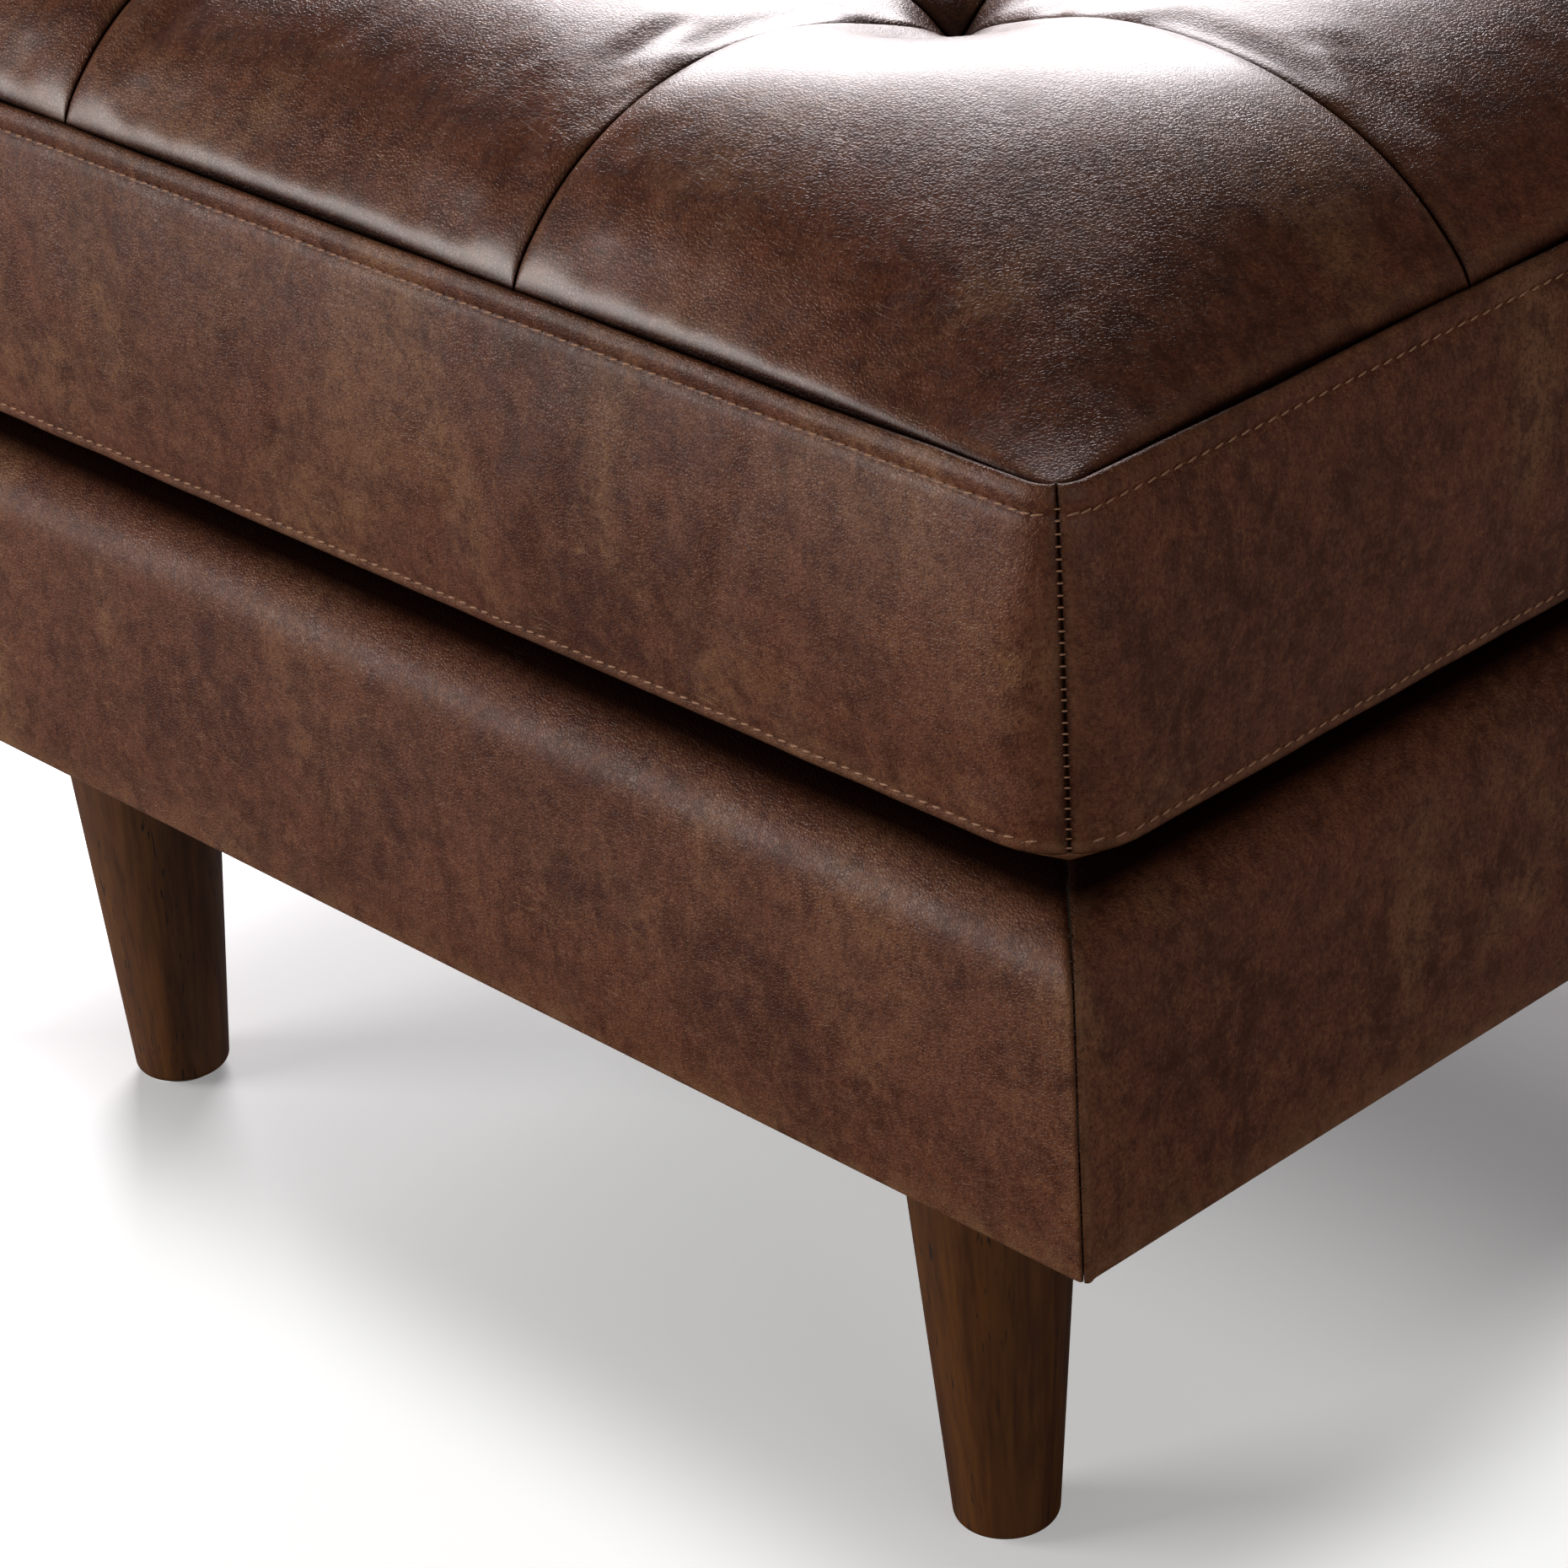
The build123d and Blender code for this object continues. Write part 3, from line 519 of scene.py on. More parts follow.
class Effects:
    """The node groups that the materials share, each built once, with their patterns' settings."""

    BROAD = Waves(6.0, 2.0, 0.5, 0.4)
    BLOTCH = Waves(21.0, 6.0, 0.64, 0.5)
    SMALL = Waves(125.0, 8.0, 0.78, 0.2)
    SPECKS = Waves(760.0, 3.0, 0.75)
    GOLDEN = Waves(13.0, 5.0, 0.6, 0.8)
    GOLDEN_STRETCH = (1.0, 1.0, 0.8)
    BROAD_SHARE, BLOTCH_SHARE = 0.4, 0.6
    SMALL_SHARE, DEPTH_SHARE = 0.6, 0.4
    SHADE_SPAN, GOLDEN_SPAN, SMALL_LIFT_SPAN, SMALL_SPECK_SPAN = (0.38, 0.6), (0.48, 0.7), (0.3, 0.66), (0.28, 0.7)
    SPECK_SPAN, SPECK_TO = (0.5, 0.68), (0.0, 0.55)
    PIT_SPAN, PIT_TO = (0.5, 0.32), (0.0, 0.8)
    LIFT_SHARE = 0.7

    BEND_SCALE, BEND = 300.0, 0.0012
    PEBBLE_SPAN, PEBBLE_SHARE = (0.0, 0.28), 0.4
    FINE_GRAIN, FINE_SHARE = Waves(1800.0, 2.0), 0.35
    SOFT_CREASES, SOFT_SHARE = Waves(150.0, 4.0, 0.6), 1.1

    HAIR_TURNS = ((0.4, 0.3, 0.9), (1.2, 0.2, 2.3), (0.1, 1.3, 0.2))
    HAIR_STRETCH, HAIR_STEP = (28.0, 130.0, 150.0), 25
    HAIR_LINE = Waves(1.0, 2.0, 0.55, 0.7)
    HAIR_MIDDLE, HAIR_SPAN = 0.5, (0.011, 0.0)
    HAIR_PATCHES, HAIR_PATCH_STEP, HAIR_PATCH_SPAN = Waves(38.0, 2.0), 13, (0.55, 0.72)

    RUBBED, RUBBED_SPAN = Waves(90.0, 5.0, 0.65), (0.3, 0.68)

    RINGS, RINGS_STRETCH, RINGS_SHARE = Waves(1.0, 3.0, 0.55, 1.1), (95.0, 95.0, 3.2), 0.65
    FIBRES, FIBRES_STRETCH, FIBRES_SHARE = Waves(1.0, 3.0, 0.6), (620.0, 620.0, 16.0), 0.35
    PORES, PORES_STRETCH, PORES_SPAN = Waves(1.0, 1.0, 0.4), (900.0, 900.0, 95.0), (0.64, 0.74)
    CROWD, CROWD_STRETCH, CROWD_SPAN = Waves(1.0, 2.0), (60.0, 60.0, 14.0), (0.42, 0.6)
    STRIPE_SPAN, FIBRE_HEIGHT = (0.34, 0.66), 0.5

    UNEVEN_THREADS, THREADS_SPAN, THREADS_TO = Waves(260.0, 3.0), (0.2, 0.8), (0.6, 1.0)
    SPOTS, SPOTS_SPAN = Waves(1.0, 4.0, 0.65), (0.3, 0.7)

    def __init__(self) -> None:
        """Builds every group."""
        self.hide = self._hide()
        self.grain = self._grain()
        self.scratches = self._scratches()
        self.wear = self._wear()
        self.timber = self._timber()
        self.weave = self._weave()
        self.speckle = self._speckle()

    def _hide(self) -> bpy.types.NodeTree:
        """Clouded colour of waxed leather, with streaks and lifted patches.

        Returns:
            The group.
        """
        made, given, put = new_group(
            "clouded hide",
            {"Vector": "Vector", "Dark": "Color", "Middle": "Color", "Light": "Color"},
            {"Color": "Color", "Lifted": "Float"},
        )
        at, dark, light = given["Vector"], given["Dark"], given["Light"]
        broad, blotch, small, specks = (made.noise(at, w) for w in (self.BROAD, self.BLOTCH, self.SMALL, self.SPECKS))
        depth = made.maths("ADD", made.times(broad, self.BROAD_SHARE), made.times(blotch, self.BLOTCH_SHARE))
        uneven = made.maths("MULTIPLY_ADD", small, self.SMALL_SHARE, made.times(depth, self.DEPTH_SHARE))
        shade = made.mix(made.fit(uneven, self.SHADE_SPAN), dark, given["Middle"])
        golden = made.noise(made.stretch(at, self.GOLDEN_STRETCH), self.GOLDEN)
        lift = made.times(made.fit(golden, self.GOLDEN_SPAN), made.fit(small, self.SMALL_LIFT_SPAN))
        tone = made.mix(made.times(lift, self.LIFT_SHARE), shade, light)
        speck = made.fit(specks, self.SPECK_SPAN, self.SPECK_TO)
        final = made.mix(made.times(speck, made.fit(small, self.SMALL_SPECK_SPAN)), tone, light)
        pitted = made.mix(made.fit(specks, self.PIT_SPAN, self.PIT_TO), final, dark)
        made.feed(put, {"Color": pitted, "Lifted": lift})
        return made.tree

    def _grain(self) -> bpy.types.NodeTree:
        """Height of leather's fine pebbled grain and soft creases.

        Returns:
            The group.
        """
        made, given, put = new_group("leather grain", {"Vector": "Vector", "Scale": "Float"}, {"Height": "Float"})
        at = given["Vector"]
        sway = made.node("TexNoise", {"Vector": at, "Scale": self.BEND_SCALE}).outputs[1]
        sway = made.node("VectorMath", {0: sway, "Scale": self.BEND}, operation="SCALE").outputs[0]
        bent = made.node("VectorMath", {0: at, 1: sway}, operation="ADD").outputs[0]
        inputs = {"Vector": bent, "Scale": given["Scale"], "Randomness": 1.0}
        cells = made.node("TexVoronoi", inputs, feature="DISTANCE_TO_EDGE").outputs["Distance"]
        pebbles = made.times(made.fit(cells, self.PEBBLE_SPAN), self.PEBBLE_SHARE)
        height = made.maths("ADD", pebbles, made.times(made.noise(at, self.FINE_GRAIN), self.FINE_SHARE))
        soft = made.times(made.noise(at, self.SOFT_CREASES), self.SOFT_SHARE)
        made.feed(put, {"Height": made.maths("ADD", height, soft)})
        return made.tree

    def _scratches(self) -> bpy.types.NodeTree:
        """Mask of thin pale hairs and scuffs that run every way.

        Returns:
            The group.
        """
        made, given, put = new_group("hair scratches", {"Vector": "Vector"}, {"Mask": "Float"})
        at = given["Vector"]
        total: object = 0.0
        length, width, depth = self.HAIR_STRETCH
        for number, turn in enumerate(self.HAIR_TURNS):
            path = made.stretch(at, (length, width + self.HAIR_STEP * number, depth), turn)
            line = made.maths("SUBTRACT", made.noise(path, self.HAIR_LINE), self.HAIR_MIDDLE)
            thin = made.fit(made.maths("ABSOLUTE", line), self.HAIR_SPAN)
            scale = self.HAIR_PATCHES.scale + self.HAIR_PATCH_STEP * number
            where = made.fit(made.noise(at, self.HAIR_PATCHES, scale), self.HAIR_PATCH_SPAN)
            total = made.maths("MAXIMUM", total, made.times(thin, where))
        made.feed(put, {"Mask": total})
        return made.tree

    def _wear(self) -> bpy.types.NodeTree:
        """Uneven rubbing of the edges that a piece marks as worn.

        Returns:
            The group.
        """
        inputs = {"Vector": "Vector", "Edge": "Float", "Amount": "Float"}
        made, given, put = new_group("edge wear", inputs, {"Mask": "Float"})
        broken = made.fit(made.noise(given["Vector"], self.RUBBED), self.RUBBED_SPAN)
        made.feed(put, {"Mask": made.times(made.times(given["Edge"], broken), given["Amount"])})
        return made.tree

    def _timber(self) -> bpy.types.NodeTree:
        """Colour and height of straight-grained wood with open pores, its grain along z.

        Returns:
            The group.
        """
        made, given, put = new_group(
            "straight timber",
            {"Vector": "Vector", "Dark": "Color", "Light": "Color", "Pore": "Color"},
            {"Color": "Color", "Height": "Float"},
        )
        rings, fibres, pores, crowd = (
            made.noise(made.stretch(given["Vector"], scale), waves)
            for scale, waves in (
                (self.RINGS_STRETCH, self.RINGS),
                (self.FIBRES_STRETCH, self.FIBRES),
                (self.PORES_STRETCH, self.PORES),
                (self.CROWD_STRETCH, self.CROWD),
            )
        )
        stripe = made.maths("ADD", made.times(rings, self.RINGS_SHARE), made.times(fibres, self.FIBRES_SHARE))
        hole = made.times(made.fit(pores, self.PORES_SPAN), made.fit(crowd, self.CROWD_SPAN))
        tone = made.mix(made.fit(stripe, self.STRIPE_SPAN), given["Dark"], given["Light"])
        height = made.maths("SUBTRACT", made.times(fibres, self.FIBRE_HEIGHT), hole)
        made.feed(put, {"Color": made.mix(hole, tone, given["Pore"]), "Height": height})
        return made.tree

    def _weave(self) -> bpy.types.NodeTree:
        """Over-and-under threads along x and y.

        Returns:
            The group.
        """
        outputs = {"Height": "Float", "Shade": "Float"}
        made, given, put = new_group("plain weave", {"Vector": "Vector", "Threads": "Float"}, outputs)
        scaled = made.node("VectorMath", {0: given["Vector"], "Scale": given["Threads"]}, operation="SCALE")
        parts = made.node("SeparateXYZ", {0: scaled.outputs[0]})
        waves = [made.maths("SINE", made.times(parts.outputs[axis], math.pi)) for axis in (0, 1)]
        height = made.maths("MULTIPLY_ADD", made.times(*waves), 0.5, 0.5)
        uneven = made.fit(made.noise(given["Vector"], self.UNEVEN_THREADS), self.THREADS_SPAN, self.THREADS_TO)
        made.feed(put, {"Height": height, "Shade": made.times(height, uneven)})
        return made.tree

    def _speckle(self) -> bpy.types.NodeTree:
        """Even fine spots, for foam cells, moulded plastic, plating and brushed metal.

        Returns:
            The group.
        """
        outputs = {"Mask": "Float", "Height": "Float"}
        made, given, put = new_group("fine speckle", {"Vector": "Vector", "Scale": "Float"}, outputs)
        spots = made.noise(given["Vector"], self.SPOTS, given["Scale"])
        made.feed(put, {"Mask": made.fit(spots, self.SPOTS_SPAN), "Height": spots})
        return made.tree


def new_material(name: str) -> tuple[bpy.types.Material, Tree, bpy.types.Node, Socket]:
    """An empty node material.

    Args:
        name: the material's name.

    Returns:
        The material, its tree, its shader and the Object coordinates.
    """
    material = bpy.data.materials.new(name)
    material.use_nodes = True
    made = Tree(material.node_tree)
    return material, made, material.node_tree.nodes["Principled BSDF"], made.node("TexCoord").outputs["Object"]


@dataclass(frozen=True)
class Leather:
    """Waxed pull-up leather: clouded brown, lighter where it is stretched or rubbed, with painted shade where a piece
    marks it.
    """

    name: str
    dark: Colour = (0.058, 0.0150, 0.0065)
    middle: Colour = (0.150, 0.0470, 0.0220)
    light: Colour = (0.240, 0.115, 0.050)
    # painted shade: the near-black colour and low specular that marked creases, seams and crevices take in place of
    # their shadow; the coat fades out there too
    painted_shade_colour: Colour = (0.010, 0.0032, 0.0018)
    specular: float = 0.45
    specular_tint: Colour = (1.0, 0.84, 0.78)
    painted_shade_specular: float = 0.03
    coat: float = 0.4
    coat_roughness: float = 0.34
    coat_gone: float = 0.8
    drawn_down: float = 1.0
    rubbing: float = 0.75
    scuffing: float = 0.5
    dull_patches: Waves = Waves(45.0, 4.0, 0.6)
    dull_span: Span = (0.3, 0.7)
    smooth_roughness: float = 0.38
    dull_roughness: float = 0.52
    grain_cells: float = 780.0
    grain_depth: float = 0.00030
    stitch_pitch: float = 5.5 * MM
    pucker_share: float = 0.5
    scratch_share: float = -0.5

    def build(self, effects: Effects) -> bpy.types.Material:
        """The leather's material.

        Args:
            effects: the shared node groups.

        Returns:
            The material.
        """
        material, made, shader, place = new_material(self.name)
        drawn = made.stretch(place, (1.0, 1.0, self.drawn_down))
        colours = {"Dark": self.dark, "Middle": self.middle, "Light": self.light}
        hide = made.group(effects.hide, {"Vector": drawn} | colours)["Color"]
        hairs = made.group(effects.scratches, {"Vector": place})["Mask"]
        rub = made.group(effects.wear, {"Vector": place, "Edge": made.mark("wear"), "Amount": self.rubbing})["Mask"]
        # Painted shade: where a piece marks it, the colour turns near black and the specular and coat fade away,
        # standing in for shadow in creases, seams and crevices.
        scuffed = made.mix(made.times(hairs, self.scuffing), hide, self.light)
        painted_shade_mask = made.mark("painted_shade")
        grain = made.group(effects.grain, {"Vector": place, "Scale": self.grain_cells})["Height"]
        wave = made.maths("SINE", made.times(made.mark("seam_run"), 2 * math.pi / self.stitch_pitch))
        pucker = made.times(made.times(wave, made.mark("pucker")), self.pucker_share)
        height = made.maths("ADD", made.maths("ADD", grain, pucker), made.times(hairs, self.scratch_share))
        roughness = (self.smooth_roughness, self.dull_roughness)
        made.feed(shader, {
            "Base Color": made.mix(painted_shade_mask, made.mix(rub, scuffed, self.light), self.painted_shade_colour),
            "Roughness": made.fit(made.noise(place, self.dull_patches), self.dull_span, roughness),
            "Specular IOR Level": made.fit(painted_shade_mask, (0.0, 1.0), (self.specular, self.painted_shade_specular)),
            "Specular Tint": self.specular_tint,
            "Coat Weight": made.fit(painted_shade_mask, (0.0, self.coat_gone), (self.coat, 0.0)),
            "Coat Roughness": self.coat_roughness,
            "Normal": made.bump(height, self.grain_depth),
        })
        return material


@dataclass(frozen=True)
class Timber:
    """Wood with its grain up or along, stained or bare."""

    name: str
    dark: Colour
    light: Colour
    pore: Colour
    roughness: float
    turn: Triple = UPRIGHT
    pore_roughness: float = 0.15
    pore_span: Span = (-0.8, 0.4)
    coat_roughness: float = 0.3
    depth: float = 0.0002
    strength: float = 0.6

    def build(self, effects: Effects) -> bpy.types.Material:
        """The wood's material.

        Args:
            effects: the shared node groups.

        Returns:
            The material.
        """
        material, made, shader, place = new_material(self.name)
        turned = made.stretch(place, (1.0, 1.0, 1.0), self.turn)
        colours = {"Dark": self.dark, "Light": self.light, "Pore": self.pore}
        wood = made.group(effects.timber, {"Vector": turned} | colours)
        roughness = (self.roughness + self.pore_roughness, self.roughness)
        made.feed(shader, {
            "Base Color": wood["Color"],
            "Roughness": made.fit(wood["Height"], self.pore_span, roughness),
            "Coat Roughness": self.coat_roughness,
            "Normal": made.bump(wood["Height"], self.depth, self.strength),
        })
        return material


@dataclass(frozen=True)
class Woven:
    """Cloth, tape or webbing of plain threads."""

    name: str
    dark: Colour
    light: Colour
    threads: float
    turn: Triple = UPRIGHT
    roughness: Span = (0.95, 0.8)
    depth: float = 0.0003
    strength: float = 0.8

    def build(self, effects: Effects) -> bpy.types.Material:
        """The cloth's material.

        Args:
            effects: the shared node groups.

        Returns:
            The material.
        """
        material, made, shader, place = new_material(self.name)
        turned = made.stretch(place, (1.0, 1.0, 1.0), self.turn)
        weave = made.group(effects.weave, {"Vector": turned, "Threads": self.threads})
        made.feed(shader, {
            "Base Color": made.mix(weave["Shade"], self.dark, self.light),
            "Roughness": made.fit(weave["Height"], (0.0, 1.0), self.roughness),
            "Normal": made.bump(weave["Height"], self.depth, self.strength),
        })
        return material


@dataclass(frozen=True)
class Speckled:
    """Foam, fibre, plastic, wire, thread or plated metal with a fine speckled surface."""

    name: str
    base: Colour
    spot: Colour
    scale: float
    roughness: Span
    depth: float = 0.0002
    metallic: float = 0.0
    strength: float = 0.7

    def build(self, effects: Effects) -> bpy.types.Material:
        """The speckled material.

        Args:
            effects: the shared node groups.

        Returns:
            The material.
        """
        material, made, shader, place = new_material(self.name)
        spots = made.group(effects.speckle, {"Vector": place, "Scale": self.scale})
        made.feed(shader, {
            "Base Color": made.mix(spots["Mask"], self.base, self.spot),
            "Roughness": made.fit(spots["Mask"], (0.0, 1.0), self.roughness),
            "Metallic": self.metallic,
            "Normal": made.bump(spots["Height"], self.depth, self.strength),
        })
        return material


BARE_WOOD = {"dark": (0.34, 0.20, 0.10), "light": (0.56, 0.38, 0.21), "pore": (0.24, 0.13, 0.06), "roughness": 0.65}
STAINED_WOOD = {"dark": (0.058, 0.0155, 0.0011), "light": (0.125, 0.040, 0.0035), "pore": (0.016, 0.005, 0.001)}
LOOKS = {
    Finish.LEG: Timber("dark stained wood", roughness=0.5, **STAINED_WOOD),
    Finish.RAIL: Timber("bare softwood along x", turn=ALONG_X, **BARE_WOOD),
    Finish.GLIDE: Speckled("pale glide plastic", (0.60, 0.59, 0.55), (0.52, 0.51, 0.47), 900.0, (0.45, 0.6)),
    Finish.ZINC: Speckled("zinc plate", (0.62, 0.62, 0.60), (0.50, 0.51, 0.50), 600.0, (0.3, 0.45), metallic=1.0),
    Finish.STAPLE: Speckled("staple wire", (0.58, 0.58, 0.56), (0.45, 0.45, 0.44), 2500.0, (0.3, 0.5), metallic=1.0),
    Finish.WEBBING: Woven("jute webbing", (0.17, 0.12, 0.07), (0.42, 0.33, 0.22), 480.0),
    Finish.BASE_LEATHER: Leather("waxed leather, base", specular=0.28, coat=0.06, drawn_down=0.8),
    Finish.CUSHION_LEATHER: Leather("waxed leather, boxing", specular=0.3, coat=0.1, drawn_down=0.8),
    Finish.FOAM: Speckled("cut foam", (0.72, 0.66, 0.46), (0.60, 0.53, 0.35), 1100.0, (0.85, 0.95), 0.0005),
    Finish.FIBRE: Speckled("fibre wadding", (0.86, 0.86, 0.83), (0.72, 0.72, 0.69), 260.0, (0.9, 0.98), 0.0012),
    Finish.BLACK_CLOTH: Woven("black base cloth", (0.006, 0.006, 0.0065), (0.032, 0.032, 0.034), 1300.0),
    Finish.TWINE: Speckled("waxed twine", (0.26, 0.18, 0.10), (0.16, 0.11, 0.06), 1500.0, (0.6, 0.75)),
    Finish.ANCHOR: Speckled("black moulded plastic", (0.02, 0.02, 0.02), (0.03, 0.03, 0.03), 900.0, (0.4, 0.55)),
    Finish.ZIP_TAPE: Woven("brown zip tape", (0.02, 0.010, 0.006), (0.075, 0.04, 0.026), 1500.0, ALONG_Y),
    Finish.ZIP_CHAIN: Speckled("moulded zip teeth", (0.035, 0.018, 0.011), (0.05, 0.027, 0.017), 1500.0, (0.3, 0.42)),
    Finish.SLIDER: Speckled("aged brass", (0.42, 0.30, 0.13), (0.20, 0.13, 0.06), 800.0, (0.3, 0.5), metallic=1.0),
}
SIDEWAYS_WOOD = Timber("bare softwood along y", turn=ALONG_Y, **BARE_WOOD)
POLISHED = Leather(
    "waxed leather, cushion top",
    middle=(0.160, 0.0455, 0.0200),
    specular=0.3,
    specular_tint=(1.0, 0.80, 0.72),
    coat=0.6,
    coat_roughness=0.31,
    smooth_roughness=0.36,
    dull_roughness=0.48,
    grain_cells=700.0,
)
THREAD = Speckled("tan sewing thread", (0.44, 0.23, 0.13), (0.29, 0.14, 0.075), 1800.0, (0.5, 0.7))
DARK_THREAD = Speckled("dark brown sewing thread", (0.030, 0.011, 0.006), (0.055, 0.022, 0.012), 1800.0, (0.5, 0.7))


@dataclass
class Wardrobe:
    """Every material, built once, and how pieces are dressed and attached."""

    effects: Effects = field(default_factory=Effects)
    made: dict[str, bpy.types.Material] = field(default_factory=dict)

    def material(self, finish: object) -> bpy.types.Material:
        """The built material of one finish."""
        if finish.name not in self.made:
            self.made[finish.name] = finish.build(self.effects)
        return self.made[finish.name]

    def dress(self, piece: Piece, finish: Finish, look: object | None = None) -> None:
        """Gives a piece its material.

        Args:
            piece: the object.
            finish: the record's slot.
            look: another finish to show than the slot's own.
        """
        piece.data.materials.clear()
        piece.data.materials.append(self.material(look or LOOKS[finish]))

    def attach(
        self, piece: Piece, body: str, finish: Finish, nodes: Sequence[str] = (), look: object | None = None
    ) -> None:
        """Dresses a new piece and makes it ride on its body.

        Args:
            piece: the object.
            body: the CAD body it moves with.
            finish: the record's slot.
            nodes: CAD nodes that it stands for.
            look: another finish to show than the slot's own.
        """
        self.dress(piece, finish, look)
        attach(piece, body)
        if nodes:
            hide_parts(*nodes)
        log.info("%s rides on %s, %d points", piece.name, body, len(piece.data.vertices))


# Cushion

@dataclass
class CushionShape:
    """Sizes of the cushion, read from the frame, and the height of its tufted top."""

    columns: int = 3
    rows: int = 3
    ridge_radius: float = 15 * MM
    foot_radius: float = 31 * MM
    seam_gap: float = 0.8 * MM
    ridge_drop: float = 0.6 * MM
    tuft: float = 35 * MM
    outer_swell: float = 46 * MM
    inner_swell: float = 20 * MM
    rim_bow: float = 3 * MM
    swell_skew: float = 0.756
    puff_power: float = 0.7
    crowns: Triple = (57 * MM, 56 * MM, 54 * MM)
    crease_depth: float = 1.4 * MM
    crease_width: float = 1.2 * MM
    valley_depth: float = 1.3 * MM
    valley_width: float = 8 * MM
    valley_start: float = 0.3
    hollow_depth: float = 3.5 * MM
    hollow_width: float = 42 * MM
    pull_depth: float = 12.5 * MM
    pull_reach: float = 42 * MM
    pull_width: float = 34 * MM
    pull_shares: Span = (0.15, 1.7)
    dimple_depth: float = 4 * MM
    dimple_width: float = 10 * MM
    lean: Span = (6.5 * MM, 3.2 * MM)
    lean_power: float = 1.5
    wander: float = 4 * MM
    wander_reach: float = 55 * MM
    wander_turns: Span = (2.41, 2.4)
    wrinkle_height: float = 0.4 * MM
    wrinkle_reach: float = 26 * MM
    wrinkle_count: int = 15
    wrinkle_sway: float = 3.0
    wrinkle_shift: float = 40.0

    def __post_init__(self) -> None:
        """Reads the frame's boxes."""
        low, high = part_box("cushion_bottom_panel")
        self.outline = Outline(high.x - low.x, high.y - low.y, self.foot_radius)
        self.bottom, self.boxing_bottom = low.z, high.z
        self.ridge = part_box("boxing_front")[1].z
        panel_low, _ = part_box("top_panel_front_left")
        self.inset = panel_low.x - low.x
        self.block_base = panel_low.z
        self.top = Outline(
            self.outline.width - 2 * self.inset,
            self.outline.depth - 2 * self.inset,
            self.ridge_radius - self.inset,
        )
        self.rim = self.ridge - self.ridge_drop
        tuft_low, tuft_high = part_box("top_panel_middle_centre")
        half_gap = self.seam_gap / 2
        inner_x = (tuft_low.x - half_gap, tuft_high.x + half_gap)
        inner_y = (tuft_low.y - half_gap, tuft_high.y + half_gap)
        self.lines_x = np.array([-self.top.width / 2, *inner_x, self.top.width / 2])
        self.lines_y = np.array([-self.top.depth / 2, *inner_y, self.top.depth / 2])
        self.tufts = [(x, y) for x in inner_x for y in inner_y]
        self.tall = self.ridge - self.boxing_bottom

    def level_outline(self, share: float, grow: float = 0.0) -> Outline:
        """The cushion's outline at a share of the boxing's height, its corners crisper towards the ridge."""
        radius = self.foot_radius + (self.ridge_radius - self.foot_radius) * min(max(share, 0.0), 1.0)
        return Outline(self.outline.width + 2 * grow, self.outline.depth + 2 * grow, max(radius + grow, MM))

    def seam(self, step: int, last: int, share: Grid) -> Grid:
        """Height of a seam in one panel.

        Args:
            step: the panel's number along the seam.
            last: the last panel's number.
            share: place from 0 to 1 along the panel.

        Returns:
            The heights above the rim.
        """
        if 0 < step < last:
            return self.tuft + self.inner_swell * arch(share)
        rise = np.clip(share if step == 0 else 1 - share, 0, 1)
        return self.tuft * rise**2 + self.outer_swell * arch(rise**self.swell_skew)

    def height(self, column: int, row: int, u: Grid, v: Grid) -> Grid:
        """Height of one panel above the rim, before its creases.

        Args:
            column: the panel's column.
            row: the panel's row.
            u: place from 0 to 1 along x.
            v: place from 0 to 1 along y.

        Returns:
            The heights.
        """
        last_column, last_row = self.columns - 1, self.rows - 1
        rim_u, rim_v = self.rim_bow * arch(u), self.rim_bow * arch(v)
        west = rim_v if column == 0 else self.seam(row, last_row, v)
        east = rim_v if column == last_column else self.seam(row, last_row, v)
        south = rim_u if row == 0 else self.seam(column, last_column, u)
        north = rim_u if row == last_row else self.seam(column, last_column, u)
        tuft_at = {
            (a, b): self.tuft * (0 < column + a < self.columns and 0 < row + b < self.rows)
            for a in (0, 1)
            for b in (0, 1)
        }
        corners = (
            (1 - u) * (1 - v) * tuft_at[0, 0] + u * (1 - v) * tuft_at[1, 0]
            + (1 - u) * v * tuft_at[0, 1] + u * v * tuft_at[1, 1]
        )
        base = (1 - u) * west + u * east + (1 - v) * south + v * north - corners
        on_rim = (column in (0, last_column)) + (row in (0, last_row))
        if u.shape == (1, 1):
            return base
        half = np.full((1, 1), 0.5)
        puff = self.crowns[on_rim] - self.height(column, row, half, half)[0, 0]
        return base + puff * (arch(u) * arch(v)) ** self.puff_power

    def rounded(self, x: Grid, y: Grid, outline: Outline) -> tuple[Grid, Grid]:
        """Moves the points near a rectangle's corners in, so that its outline is rounded.

        Args:
            x: places along x.
            y: places along y.
            outline: the rounded outline.

        Returns:
            The new places.
        """
        reach_x, reach_y = outline.width / 2 - outline.radius, outline.depth / 2 - outline.radius
        p = np.clip((np.abs(x) - reach_x) / outline.radius, 0, 1)
        q = np.clip((np.abs(y) - reach_y) / outline.radius, 0, 1)
        new_x = np.where(p > 0, reach_x + outline.radius * p * np.sqrt(1 - q**2 / 2), np.abs(x))
        new_y = np.where(q > 0, reach_y + outline.radius * q * np.sqrt(1 - p**2 / 2), np.abs(y))
        return np.sign(x) * new_x, np.sign(y) * new_y

